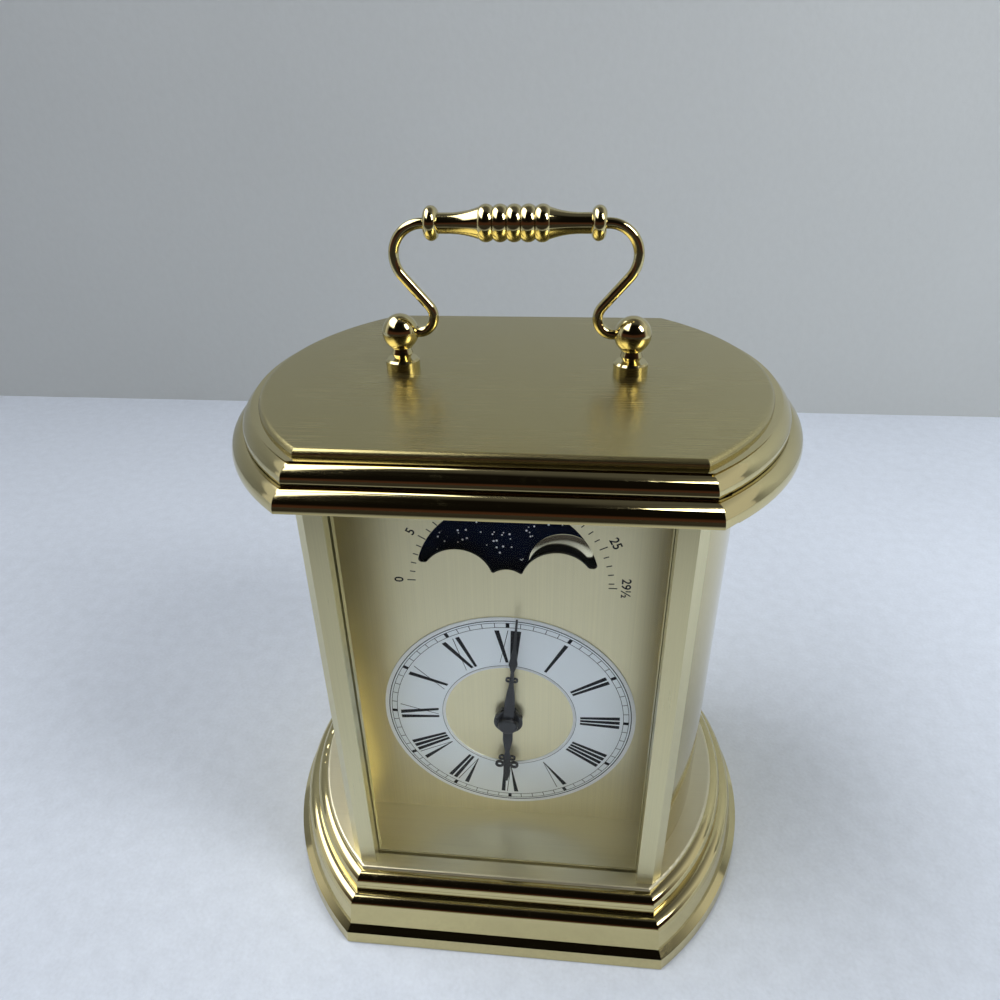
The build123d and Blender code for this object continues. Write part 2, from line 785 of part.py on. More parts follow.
# Movement case with its spacer, threaded bush, bores and open battery bay
with BuildPart() as movement_case:
    with BuildSketch(front_plane(movement_front, 0, hand_axis_height)):
        movement_outline(-movement_drop)
    extrude(amount=movement_back - movement_front)
    fillet(movement_case.edges().filter_by(Axis.Y), movement_round)
    disc_along_y(0, hand_axis_height, spacer_radius, dial_back, movement_front)
    disc_along_y(0, hand_axis_height, bush_radius, bush_front, dial_back)
    disc_along_y(
        0, hand_axis_height, hour_pipe_radius + running_clearance, bush_front,
        movement_front - hour_pipe_depth - free_clearance, mode=Mode.SUBTRACT,
    )
    disc_along_y(
        0, hand_axis_height, minute_arbor_radius + running_clearance, movement_front - hour_pipe_depth,
        movement_front - minute_arbor_depth - free_clearance, mode=Mode.SUBTRACT,
    )
    disc_along_y(
        0, moon_axis_height, moon_arbor_radius + running_clearance, movement_front, movement_back, mode=Mode.SUBTRACT
    )
    disc_along_y(
        time_knob_offset, time_knob_height, knob_shaft_radius + running_clearance,
        movement_back + knob_shaft_depth + free_clearance, movement_back, mode=Mode.SUBTRACT,
    )
    for screw_x, screw_z in cover_screw_places:
        disc_along_y(
            screw_x, screw_z, small_screw_radius, movement_back + small_screw_bite, movement_back, mode=Mode.SUBTRACT
        )
    block_between(
        -bay_half_length, bay_half_length, battery_line + battery_radius, movement_back,
        battery_height - battery_radius, bay_top, mode=Mode.SUBTRACT,
    )
finish(movement_case, "movement_case")

with BuildPart() as movement_cover:
    with BuildSketch(front_plane(movement_back, 0, hand_axis_height)):
        movement_outline(cover_low)
    extrude(amount=-cover_thickness)
    fillet(movement_cover.edges().filter_by(Axis.Y), movement_round)
    disc_along_y(
        0, moon_axis_height, moon_arbor_radius + running_clearance, movement_back, cover_back, mode=Mode.SUBTRACT
    )
    disc_along_y(
        time_knob_offset, time_knob_height, knob_shaft_radius + running_clearance,
        movement_back, cover_back, mode=Mode.SUBTRACT,
    )
    for screw_x, screw_z in cover_screw_places:
        disc_along_y(
            screw_x, screw_z, small_screw_radius + fit_clearance, movement_back, cover_back, mode=Mode.SUBTRACT
        )
finish(movement_cover, "movement_cover")

with BuildPart() as cover_screws:
    for screw_x, screw_z in cover_screw_places:
        disc_along_y(screw_x, screw_z, small_screw_radius, cover_back + small_screw_bite, cover_back)
        disc_along_y(screw_x, screw_z, small_head_radius, cover_back, cover_back - small_head_height)
        with BuildSketch(front_plane(cover_back - small_head_height, screw_x, screw_z)):
            Rectangle(2 * small_head_radius + overrun, small_slot_width)
        extrude(amount=small_slot_depth, mode=Mode.SUBTRACT)
finish(cover_screws, "cover_screws")

with BuildPart() as movement_nut:
    with BuildSketch(front_plane(dial_front, 0, hand_axis_height)):
        RegularPolygon(nut_flats_radius, 6, major_radius=False)
        Circle(bush_radius, mode=Mode.SUBTRACT)
    extrude(amount=bush_nut_height)
finish(movement_nut, "movement_nut")

# Battery and its contact leaves
battery_end = bay_half_length - contact_thickness
with BuildPart() as battery:
    with BuildSketch(Plane(origin=(-battery_end, -battery_line, battery_height), z_dir=(1, 0, 0))):
        Circle(battery_radius)
    extrude(amount=battery_length)
    with BuildSketch(Plane(origin=(battery_end, -battery_line, battery_height), z_dir=(-1, 0, 0))):
        Circle(battery_cap_radius)
    extrude(amount=battery_cap_length)
finish(battery, "battery")

with BuildPart() as battery_contacts:
    for low_x in (-bay_half_length, battery_end):
        block_between(
            low_x, low_x + contact_thickness, battery_line + contact_half_width, battery_line - contact_half_width,
            battery_height - battery_radius, battery_height + contact_half_width,
        )
finish(battery_contacts, "battery_contacts")


def hand_outline(shares, scrolls, length, hub_radius):
    """Outline of a hand along the second axis: hub, waisted blade with a spade, and pierced scrolls."""
    Circle(hub_radius)
    right = [(wide * length, along * length) for along, wide in shares]
    left = [(-wide, along) for wide, along in reversed(right)]
    root = right[0][0]
    with BuildLine() as blade:
        Polyline((-root, 0), (root, 0), *right, *left, close=True)
    make_face(blade.edges())
    for along, offset, radius in scrolls:
        with Locations((-offset * length, along * length), (offset * length, along * length)):
            Circle(radius * length)
            Circle(radius * length * pierced_share, mode=Mode.SUBTRACT)


with BuildPart() as hour_pipe:
    disc_along_y(0, hand_axis_height, hour_pipe_radius, hour_hand_front, movement_front - hour_pipe_depth)
    disc_along_y(
        0, hand_axis_height, minute_arbor_radius + running_clearance, hour_hand_front,
        movement_front - hour_pipe_depth, mode=Mode.SUBTRACT,
    )
finish(hour_pipe, "hour_pipe")

with BuildPart() as hour_hand:
    with BuildSketch(front_plane(hour_hand_back, 0, hand_axis_height, hour_hand_angle)):
        hand_outline(hour_hand_shares, hour_scroll_shares, hour_hand_length, hour_hub_radius)
        Circle(hour_pipe_radius, mode=Mode.SUBTRACT)
    extrude(amount=hand_thickness)
finish(hour_hand, "hour_hand")

with BuildPart() as minute_arbor:
    disc_along_y(
        0, hand_axis_height, minute_arbor_radius, minute_hand_front + hand_cap_height / 2,
        movement_front - minute_arbor_depth,
    )
finish(minute_arbor, "minute_arbor")

with BuildPart() as minute_hand:
    with BuildSketch(front_plane(minute_hand_back, 0, hand_axis_height, minute_hand_angle)):
        hand_outline(minute_hand_shares, minute_scroll_shares, minute_hand_length, minute_hub_radius)
        Circle(minute_arbor_radius, mode=Mode.SUBTRACT)
    extrude(amount=hand_thickness)
finish(minute_hand, "minute_hand")

with BuildPart() as hand_cap:
    disc_along_y(0, hand_axis_height, hand_cap_radius, minute_hand_front + hand_cap_height, minute_hand_front)
    fillet(hand_cap.faces().sort_by(Axis.Y)[0].edges(), hand_cap_round)
    disc_along_y(
        0, hand_axis_height, minute_arbor_radius, minute_hand_front + hand_cap_height / 2,
        minute_hand_front, mode=Mode.SUBTRACT,
    )
finish(hand_cap, "hand_cap")


def fluted_knob(radius, x, z):
    """Fluted knob on the back of the movement, added to the piece being made."""
    with BuildSketch(front_plane(knob_back, x, z)) as section:
        Circle(radius)
        with PolarLocations(radius, knob_flutes):
            Circle(radius * knob_flute_share, mode=Mode.SUBTRACT)
    extrude(section.sketch, amount=knob_height)


with BuildPart() as time_set_knob:
    fluted_knob(time_knob_radius, time_knob_offset, time_knob_height)
    disc_along_y(
        time_knob_offset, time_knob_height, knob_shaft_radius, movement_back + knob_shaft_depth, knob_front
    )
finish(time_set_knob, "time_set_knob")

with BuildPart() as moon_set_knob:
    fluted_knob(moon_knob_radius, 0, moon_axis_height)
    disc_along_y(
        0, moon_axis_height, moon_arbor_radius, knob_front, knob_back + knob_height / 2, mode=Mode.SUBTRACT
    )
finish(moon_set_knob, "moon_set_knob")

# Rear door: a flat plate on a round hinge rod with a pivot at each end
with BuildPart() as rear_door:
    block_between(-door_edge_x, door_hinge_x, -door_inside, -door_outside, door_low, door_high)
    with BuildSketch(Plane.XY.offset(door_low)):
        with Locations(door_pin_place):
            Circle(door_rod_radius)
    extrude(amount=door_high - door_low)
    with BuildSketch(Plane.XY.offset(door_low - door_pin_length)):
        with Locations(door_pin_place):
            Circle(door_pin_radius)
    extrude(amount=door_high - door_low + 2 * door_pin_length)
    disc_along_y(
        -door_knob_x, post_middle, screw_radius + fit_clearance, -door_inside, -door_outside, mode=Mode.SUBTRACT
    )
finish(rear_door, "rear_door")

# Door knob, turned with a collar and a neck, on a stud through the door
with BuildPart() as door_knob:
    with BuildSketch(Plane(origin=(-door_knob_x, door_outside, post_middle), x_dir=(0, 1, 0), z_dir=(1, 0, 0))):
        with BuildLine():
            Polyline(
                (door_knob_reach - door_knob_radius, 0),
                (-door_thickness, 0),
                (-door_thickness, screw_radius),
                (0, screw_radius),
                (0, door_knob_collar_radius),
                (door_knob_collar_height, door_knob_collar_radius),
                (door_knob_collar_height, door_knob_neck),
                (door_knob_reach - door_knob_radius, door_knob_neck),
                close=True,
            )
        make_face()
    revolve(axis=Axis((-door_knob_x, door_outside, post_middle), (0, 1, 0)))
    with Locations((-door_knob_x, door_outside + door_knob_reach - door_knob_radius, post_middle)):
        Sphere(door_knob_radius)
finish(door_knob, "door_knob")

with BuildPart() as door_strike:
    disc_along_y(-door_knob_x, strike_height, strike_radius, strike_thickness - door_inside, -door_inside)
finish(door_strike, "door_strike")

with BuildPart() as door_catch:
    catch_face = door_inside - strike_thickness - catch_gap
    block_between(
        -door_knob_x - catch_width / 2, -door_knob_x + catch_width / 2, catch_depth - catch_face, -catch_face,
        cap_bottom - catch_height, cap_bottom,
    )
finish(door_catch, "door_catch")


def finial(name, side):
    """Ball finial: chamfered foot, waist, collar, bead and ball with the cross hole of the handle."""
    x = finial_spread * side
    foot_high = case_height + finial_foot_height
    bead_low = case_height + finial_bead_rise
    bead_high = bead_low + finial_bead_height
    with BuildPart() as turned:
        with BuildSketch(Plane(origin=(x, 0, 0), x_dir=(1, 0, 0), z_dir=(0, -1, 0))):
            with BuildLine():
                Polyline(
                    (0, eye_height),
                    (0, case_height - stud_length),
                    (stud_radius, case_height - stud_length),
                    (stud_radius, case_height),
                    (finial_foot_radius, case_height),
                    (finial_foot_radius, foot_high - finial_foot_chamfer),
                    (finial_foot_radius - finial_foot_chamfer, foot_high),
                    (finial_waist_radius, foot_high),
                    (finial_collar_radius, case_height + finial_collar_rise),
                    (finial_neck_radius, bead_low),
                )
                ThreePointArc(
                    (finial_neck_radius, bead_low),
                    (finial_bead_radius, (bead_low + bead_high) / 2),
                    (finial_neck_radius, bead_high),
                )
                Polyline((finial_neck_radius, bead_high), (finial_neck_radius, eye_height), (0, eye_height))
            make_face()
        revolve(axis=Axis((x, 0, 0), (0, 0, 1)))
        with Locations((x, 0, eye_height)):
            Sphere(ball_radius)
        eye_end = x + (wire_eye_depth + fit_clearance) * side
        with BuildSketch(Plane(origin=(eye_end, 0, eye_height), z_dir=(-side, 0, 0))):
            Circle(wire_radius + running_clearance)
        extrude(amount=2 * ball_radius, mode=Mode.SUBTRACT)
    finish(turned, name)


finial("finial_left", -1)
finial("finial_right", 1)


def handle_wire(name, side):
    """Bent wire from the grip round an outward bend and an inward bend into the ball of its finial."""
    top_x, top_z = wire_reach - wire_top_bend, grip_height - wire_top_bend
    low_x, low_z = wire_pinch + wire_low_bend, eye_height + wire_low_bend
    run = hypot(low_x - top_x, low_z - top_z)
    lean = atan2(low_z - top_z, low_x - top_x) + acos((wire_top_bend + wire_low_bend) / run)
    half_top = (lean + radians(90)) / 2
    leave = (top_x + wire_top_bend * cos(lean), top_z + wire_top_bend * sin(lean))
    meet = (low_x - wire_low_bend * cos(lean), low_z - wire_low_bend * sin(lean))
    start = (grip_half_length - wire_tongue, grip_height)
    with BuildPart() as wire:
        with BuildLine(side_plane(side)):
            Line(start, (top_x, grip_height))
            ThreePointArc(
                (top_x, grip_height),
                (top_x + wire_top_bend * cos(half_top), top_z + wire_top_bend * sin(half_top)),
                leave,
            )
            Line(leave, meet)
            ThreePointArc(
                meet,
                (low_x - wire_low_bend * cos(half_top), low_z - wire_low_bend * sin(half_top)),
                (low_x, eye_height),
            )
            Line((low_x, eye_height), (finial_spread + wire_eye_depth, eye_height))
        with BuildSketch(Plane(origin=(start[0] * side, 0, grip_height), z_dir=(side, 0, 0))):
            Circle(wire_radius)
        sweep()
    finish(wire, name)


handle_wire("handle_wire_left", -1)
handle_wire("handle_wire_right", 1)

# Turned grip: a ridge in the middle and more to each side, flared necks and end beads
ridges_end = ridge_pitch * (ridge_pairs + 1 / 2)
bead_place = grip_half_length - bead_half_width
with BuildPart() as handle_grip:
    with BuildSketch(Plane(origin=(0, 0, grip_height), x_dir=(1, 0, 0), z_dir=(0, -1, 0))):
        with BuildLine():
            for ridge in range(-ridge_pairs, ridge_pairs + 1):
                middle = ridge * ridge_pitch
                ThreePointArc(
                    (middle - ridge_pitch / 2, groove_radius),
                    (middle, ridge_radius),
                    (middle + ridge_pitch / 2, groove_radius),
                )
            for side in (-1, 1):
                TangentArc(
                    (neck_place * side, neck_radius), (ridges_end * side, groove_radius), tangent=(-side, 0)
                )
                Line((neck_place * side, neck_radius), ((bead_place - bead_half_width) * side, neck_radius))
                ThreePointArc(
                    ((bead_place - bead_half_width) * side, neck_radius),
                    (bead_place * side, bead_radius),
                    (grip_half_length * side, neck_radius),
                )
                Line((grip_half_length * side, neck_radius), (grip_half_length * side, 0))
            Line((-grip_half_length, 0), (grip_half_length, 0))
        make_face()
    revolve(axis=Axis((0, 0, grip_height), (1, 0, 0)))
    for side in (-1, 1):
        with BuildSketch(Plane(origin=(grip_half_length * side, 0, grip_height), z_dir=(-side, 0, 0))):
            Circle(wire_radius)
        extrude(amount=wire_tongue, mode=Mode.SUBTRACT)
finish(handle_grip, "handle_grip")
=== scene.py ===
import json
import math
import random

import bpy
from mathutils import Matrix, Vector


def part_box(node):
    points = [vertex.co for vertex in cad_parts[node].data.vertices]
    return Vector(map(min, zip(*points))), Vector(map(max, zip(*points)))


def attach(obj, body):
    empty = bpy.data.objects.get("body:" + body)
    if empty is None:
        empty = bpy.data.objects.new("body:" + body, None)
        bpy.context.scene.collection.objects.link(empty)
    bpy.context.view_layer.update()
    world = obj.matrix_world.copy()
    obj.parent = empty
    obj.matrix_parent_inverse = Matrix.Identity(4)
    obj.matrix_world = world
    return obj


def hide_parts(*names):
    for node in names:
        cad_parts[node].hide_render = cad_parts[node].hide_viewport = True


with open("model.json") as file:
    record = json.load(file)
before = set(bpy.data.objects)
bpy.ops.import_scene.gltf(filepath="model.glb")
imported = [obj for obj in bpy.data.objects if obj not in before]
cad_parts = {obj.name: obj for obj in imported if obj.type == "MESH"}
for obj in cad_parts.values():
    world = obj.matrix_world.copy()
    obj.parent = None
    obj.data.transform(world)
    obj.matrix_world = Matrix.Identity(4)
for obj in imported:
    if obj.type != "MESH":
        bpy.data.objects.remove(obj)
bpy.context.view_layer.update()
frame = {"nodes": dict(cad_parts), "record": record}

bl_info = {
    "name": "Moon Phase Desk Clock",
    "version": (1, 0, 0),
    "blender": (4, 5, 0),
    "location": "View3D > Sidebar > Clock",
    "description": "Prints, finishes and lights a brass desk clock with a moon dial",
    "category": "Add Mesh",
}

MM = 0.001
HOURS = 12
MINUTES = 60
TURN = 2 * math.pi
QUARTER = TURN / 4
# A vertex lies on a face or an edge when it is no farther from it than this.
NEAR = 0.01 * MM
# Sides of the polygons that stand for a printed circle, a moon and a star
CIRCLE_SIDES = 180
MOON_SIDES = 96
STAR_SIDES = 10

NODES = frame["nodes"]
SLOT_OF = {row["node"]: row["material_slot"] for row in frame["record"]["subparts"]}


def middle(node):
    """The middle of a CAD node's box."""
    low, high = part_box(node)
    return (low + high) / 2


def half_width(node):
    """Half of a CAD node's width across the clock."""
    low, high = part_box(node)
    return (high.x - low.x) / 2


# Where the solids put the dial's pieces. The dial faces -y, so a front face is the low end of a box.
HAND_AXIS = middle("chapter_ring")
RING_RADIUS = half_width("chapter_ring")
RING_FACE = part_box("chapter_ring")[0].y
PLATE_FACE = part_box("dial_plate")[0].y
MOON_AXIS = middle("moon_disc")
MOON_DISC_RADIUS = half_width("moon_disc")
MOON_DISC_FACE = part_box("moon_disc")[0].y
CAP_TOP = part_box("cap_top_plate")[1].z


# Properties

def length(name, description, default):
    """A length that the user can change."""
    return bpy.props.FloatProperty(
        name=name, description=description, default=default, unit="LENGTH", precision=6)


def paint(name, description, *levels):
    """An opaque colour that the user can change."""
    return bpy.props.FloatVectorProperty(
        name=name, description=description, default=(*levels, 1), subtype="COLOR", size=4)


class ClockSizes(bpy.types.PropertyGroup):
    """Sizes of the print on the ring, the dial plate and the moon disc."""
    ink: length("Ink", "Thickness of a printed mark", 0.03 * MM)
    ring_edge: length("Ring edge", "Radius of the dark line inside the white rim", RING_RADIUS - 1.5 * MM)
    track_outer: length("Outer track", "Radius of the outer line of the minute track", RING_RADIUS - 2.3 * MM)
    track_inner: length("Inner track", "Radius of the inner line of the minute track", RING_RADIUS - 4.1 * MM)
    numeral_top: length("Numeral top", "Radius at which the hour numerals end", RING_RADIUS - 5.3 * MM)
    numeral_foot: length("Numeral foot", "Radius at which the hour numerals begin", 24.3 * MM)
    bar: length("Numeral bar", "Width of a thick stroke at its middle", 1.15 * MM)
    hairline: length("Hairline", "Width of a thin stroke", 0.2 * MM)
    age_radius: length("Age scale", "Radius at which the moon's age scale begins", 29.6 * MM)
    moon_radius: length("Moon", "Radius of each moon on the disc", 10.6 * MM)
    moon_orbit: length("Moon orbit", "Distance from the disc's axis to a moon's middle", 17.7 * MM)


class ClockColours(bpy.types.PropertyGroup):
    """Colours of the clock's finishes and of the studio."""
    polished: paint("Polished brass", "Mouldings, finials and handle", 0.59, 0.51, 0.26)
    satin: paint("Satin brass", "Corner posts and rear door", 0.66, 0.61, 0.38)
    brushed: paint("Brushed brass", "Top plate", 0.45, 0.39, 0.18)
    deck: paint("Deck brass", "Deck of the base", 0.68, 0.63, 0.44)
    dial: paint("Dial brass", "Front of the dial plate", 0.76, 0.70, 0.48)
    silver: paint("Silvered ring", "Face of the chapter ring", 0.90, 0.94, 0.98)
    night: paint("Night sky", "Ground of the moon disc", 0.002, 0.005, 0.019)
    print: paint("Print", "Numerals, ticks and hands", 0.012, 0.013, 0.018)
    felt: paint("Felt", "Pad under the base", 0.012, 0.045, 0.028)
    floor: paint("Floor", "Cloth of the studio's table", 0.54, 0.59, 0.665)
    wall: paint("Wall", "Wall behind the table", 0.58, 0.61, 0.61)


# Shader maths

class Number:
    """A number that varies over a surface. It wraps one socket, and its operators add Math nodes."""

    def __init__(self, nodes, socket):
        self.nodes = nodes
        self.socket = socket

    def __add__(self, other):
        return self.nodes.maths("ADD", self, other)

    def __sub__(self, other):
        return self.nodes.maths("SUBTRACT", self, other)

    def __rsub__(self, other):
        return self.nodes.maths("SUBTRACT", other, self)

    def __mul__(self, other):
        return self.nodes.maths("MULTIPLY", self, other)

    def __gt__(self, other):
        return self.nodes.maths("GREATER_THAN", self, other)

    __radd__ = __add__
    __rmul__ = __mul__


class Nodes:
    """A node tree, with one method that adds any node and a few that add the kinds used here."""

    def __init__(self, tree, place):
        self.tree = tree
        self.place = self.add("ShaderNodeTexCoord").outputs[place]

    def add(self, kind, settings=None, inputs=None):
        """Adds a node: its settings first, then the values or links of its sockets."""
        node = self.tree.nodes.new(kind)
        for name, value in (settings or {}).items():
            if name == "stops":
                self.set_stops(node.color_ramp, value)
            else:
                setattr(node, name, value)
        for key, value in (inputs or {}).items():
            self.feed(node.inputs[key], value)
        return node

    def set_stops(self, ramp, stops):
        while len(ramp.elements) < len(stops):
            ramp.elements.new(0)
        for element, (position, level) in zip(ramp.elements, stops):
            element.position = position
            element.color = (level, level, level, 1)

    def feed(self, socket, value):
        """Links a socket to a number or to another socket, or gives it a plain value."""
        if isinstance(value, Number):
            value = value.socket
        if isinstance(value, bpy.types.NodeSocket):
            self.tree.links.new(value, socket)
        else:
            socket.default_value = value

    def number(self, kind, settings, inputs):
        return Number(self, self.add(kind, settings, inputs).outputs[0])

    def maths(self, operation, *values):
        return self.number("ShaderNodeMath", {"operation": operation}, dict(enumerate(values)))

    def axis(self, name):
        """One coordinate on the object, in metres, or of the direction in the world."""
        return Number(self, self.add("ShaderNodeSeparateXYZ", {}, {"Vector": self.place}).outputs[name])

    def noise(self, size, detail=2.0, stretch=(1, 1, 1)):
        """Cloudy noise whose spots are about size across. Stretch makes them longer along an axis."""
        scale = [1 / part for part in stretch]
        place = self.add("ShaderNodeMapping", {}, {"Vector": self.place, "Scale": scale}).outputs[0]
        return self.number("ShaderNodeTexNoise", {}, {"Vector": place, "Scale": 1 / size, "Detail": detail})

    def ramp(self, value, *stops):
        """A grey level for value, from pairs of a position and a level."""
        return self.number("ShaderNodeValToRGB", {"stops": stops}, {"Fac": value})

    def mix(self, share, first, second):
        """A colour between two colours."""
        return self.add("ShaderNodeMix", {"data_type": "RGBA"}, {0: share, 6: first, 7: second}).outputs[2]


class Finish(Nodes):
    """A material with one Principled shader, patterned by the place on the object."""

    def __init__(self, name):
        self.material = bpy.data.materials.new(name)
        self.material.use_nodes = True
        super().__init__(self.material.node_tree, "Object")
        self.shader = self.tree.nodes["Principled BSDF"]

    def bump(self, height, depth, strength=1.0):
        """Feeds the shader's normal with a relief that is depth deep."""
        node = self.add("ShaderNodeBump", {}, {"Height": height, "Distance": depth, "Strength": strength})
        self.feed(self.shader.inputs["Normal"], node.outputs["Normal"])

    def set(self, **sockets):
        """Feeds sockets of the shader, each named as in base_color."""
        for name, value in sockets.items():
            self.feed(self.shader.inputs[name.replace("_", " ").title().replace("Ior", "IOR")], value)


def shade(colour, share):
    """A colour darkened or lightened by a share."""
    return [level * share for level in colour[:3]] + [1]


# Materials of the clock

def polished_brass(colour):
    """Lacquered brass with a soft waviness, hazy spots and fine wiping marks."""
    finish = Finish("mirror_brass")
    haze = finish.noise(22 * MM, 3)
    wipe = finish.noise(1.1 * MM, 2, (14, 1, 1))
    spots = finish.ramp(finish.noise(3.5 * MM, 4), (0.62, 0), (0.74, 1))
    finish.set(base_color=finish.mix(haze * 0.5 + spots * 0.2, colour, shade(colour, 0.86)),
               metallic=1.0, roughness=haze * 0.07 + wipe * 0.05 + spots * 0.06 + 0.03)
    waves = finish.noise(9 * MM, 1)
    finish.bump(waves + wipe * 0.02, 0.06 * MM, 0.35)
    return finish.material


def brushed_finish(name, colour, stretch, levels, dullness=0.14, depth=0.03 * MM):
    """Brass with fine lines brushed one way. Levels are the shares of the colour in the lines and beside
    them."""
    finish = Finish(name)
    lines = finish.noise(0.22 * MM, 3, stretch)
    bands = finish.noise(0.5 * MM, 2, stretch)
    haze = finish.noise(30 * MM, 2)
    dark, light = [shade(colour, level) for level in levels]
    finish.set(base_color=finish.mix(lines * 0.55 + bands * 0.3 + haze * 0.15, dark, light),
               metallic=1.0, roughness=lines * 0.14 + haze * 0.08 + dullness)
    finish.bump(lines + bands * 0.5, depth)
    return finish


def satin_brass(colour):
    """Pale brass with faint upright lines."""
    return brushed_finish("satin_brass", colour, (1, 1, 80), (0.88, 1.10), 0.2, 0.01 * MM).material


def brushed_brass(colour):
    """Lines along the width of the top plate."""
    return brushed_finish("brushed_brass", colour, (150, 1, 1), (0.78, 1.18)).material


def deck_brass(colour):
    """Fainter lines along the width of the deck."""
    return brushed_finish("deck_brass", colour, (150, 1, 1), (0.88, 1.10), 0.24, 0.015 * MM).material


def dial_brass(colour):
    """Upright brushing in front. Behind the front face, on the back and in the cut edge of the window, the
    colour is near black: painted shade for the gap behind the plate.
    """
    finish = brushed_finish("dial_brass", colour, (1, 1, 300), (0.86, 1.14), 0.3, 0.008 * MM)
    behind = finish.axis("Y") > PLATE_FACE + 0.1 * MM
    front = finish.shader.inputs["Base Color"].links[0].from_socket
    # Painted shade: near black on the back of the plate and in the window's cut edge
    finish.set(base_color=finish.mix(behind, front, (0.04, 0.035, 0.03, 1)))
    return finish.material


def silvered(colour):
    """Matt silver with a fine even grain."""
    finish = Finish("silvered_ring")
    grain = finish.noise(0.25 * MM, 3)
    haze = finish.noise(14 * MM, 2)
    finish.set(base_color=finish.mix(grain * 0.5 + haze * 0.5, shade(colour, 0.93), shade(colour, 1.05)),
               metallic=0.55, roughness=grain * 0.1 + haze * 0.05 + 0.38)
    finish.bump(grain, 0.006 * MM, 0.4)
    return finish.material


def painted(name, colour, dullness, specular=0.5):
    """Paint or ink with a little orange peel and dust."""
    finish = Finish(name)
    grain = finish.noise(0.4 * MM, 2)
    dust = finish.ramp(finish.noise(0.5 * MM, 4), (0.68, 0), (0.76, 1))
    dusty = shade([level + 0.05 for level in colour[:3]], 1.6)
    finish.set(base_color=finish.mix(dust * 0.35, colour, dusty),
               roughness=grain * 0.12 + dust * 0.15 + dullness, specular_ior_level=specular)
    finish.bump(grain, 0.01 * MM, 0.4)
    return finish.material


def moulded_plastic(name, colour, depth=0.02 * MM):
    """Plastic with the fine spark texture of its mould."""
    finish = Finish(name)
    grain = finish.noise(0.55 * MM, 3)
    haze = finish.noise(12 * MM, 2)
    finish.set(base_color=finish.mix(haze, shade(colour, 0.85), shade(colour, 1.3)),
               roughness=grain * 0.2 + haze * 0.1 + 0.38)
    finish.bump(grain, depth, 0.5)
    return finish.material


def zinc_steel():
    """Zinc plated steel with cloudy passivation."""
    finish = Finish("zinc_steel")
    cloud = finish.noise(4 * MM, 3)
    grain = finish.noise(0.3 * MM, 2)
    finish.set(base_color=finish.mix(cloud, (0.46, 0.46, 0.47, 1), (0.62, 0.61, 0.58, 1)),
               metallic=1.0, roughness=cloud * 0.12 + grain * 0.1 + 0.22)
    finish.bump(grain, 0.01 * MM, 0.3)
    return finish.material


def battery_sleeve():
    """A plain printed sleeve: dark body, pale band at one end, bare steel ends."""
    finish = Finish("battery_sleeve")
    low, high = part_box("battery")
    along = (finish.axis("X") - low.x) * (1 / (high.x - low.x))
    band = along > 0.72
    bare = finish.ramp(along, (0, 1), (0.012, 1), (0.02, 0), (0.955, 0), (0.963, 1))
    scuff = finish.noise(2.5 * MM, 4)
    sleeve = finish.mix(band, (0.03, 0.035, 0.045, 1), (0.42, 0.36, 0.2, 1))
    finish.set(base_color=finish.mix(bare, sleeve, (0.6, 0.6, 0.6, 1)),
               metallic=bare * 0.9 + band * 0.08, roughness=scuff * 0.15 + 0.25)
    finish.bump(scuff, 0.01 * MM, 0.2)
    return finish.material


def clear_glass():
    """Flat glass with a few dust specks and little reflection, which lets lamps shine through it."""
    finish = Finish("clear_glass")
    dust = finish.ramp(finish.noise(0.7 * MM, 5), (0.70, 0), (0.80, 1))
    smear = finish.noise(18 * MM, 3)
    finish.set(base_color=(0.99, 1.0, 0.995, 1), roughness=dust * 0.3 + smear * 0.02,
               transmission_weight=1.0, ior=1.12)
    clear = finish.add("ShaderNodeBsdfTransparent", {}, {"Color": (0.98, 1.0, 0.99, 1)})
    path = finish.add("ShaderNodeLightPath").outputs
    through = finish.maths("MAXIMUM", path["Is Shadow Ray"], path["Is Diffuse Ray"])
    glass = finish.shader.outputs[0]
    mixed = finish.add("ShaderNodeMixShader", {}, {0: through, 1: glass, 2: clear.outputs[0]})
    finish.feed(finish.tree.nodes["Material Output"].inputs["Surface"], mixed.outputs[0])
    return finish.material


def short_felt(colour):
    """Pressed wool: tangled fibres, pilling and lint."""
    finish = Finish("short_felt")
    fibres = finish.noise(0.5 * MM, 5)
    clumps = finish.noise(3 * MM, 3)
    lint = finish.ramp(finish.noise(0.35 * MM, 5), (0.70, 0), (0.78, 1))
    wool = finish.mix(fibres * 0.6 + clumps * 0.4, shade(colour, 0.6), shade(colour, 1.7))
    finish.set(base_color=finish.mix(lint * 0.5, wool, (0.2, 0.22, 0.2, 1)), roughness=fibres * 0.1 + 0.88,
               sheen_weight=0.5)
    finish.bump(fibres + clumps * 0.5, 0.25 * MM, 0.9)
    return finish.material


def moon_foil():
    """Pale gold foil of the moons, with faint craters."""
    finish = Finish("moon_foil")
    craters = finish.number("ShaderNodeTexVoronoi", {}, {"Vector": finish.place, "Scale": 1 / (4 * MM)})
    haze = finish.noise(5 * MM, 3)
    finish.set(base_color=finish.mix(haze, (0.80, 0.74, 0.52, 1), (0.92, 0.88, 0.70, 1)),
               metallic=1.0, roughness=haze * 0.06 + 0.05)
    finish.bump(craters, 0.004 * MM, 0.15)
    return finish.material


# Materials of the studio

def studio_wall(colour):
    """Painted plaster behind the table."""
    finish = Finish("studio_wall")
    plaster = finish.noise(6 * MM, 3)
    cloud = finish.noise(300 * MM, 2)
    finish.set(base_color=finish.mix(plaster * 0.3 + cloud * 0.7, shade(colour, 0.9), shade(colour, 1.1)),
               roughness=plaster * 0.1 + 0.85)
    finish.bump(plaster, 0.4 * MM, 0.5)
    return finish.material


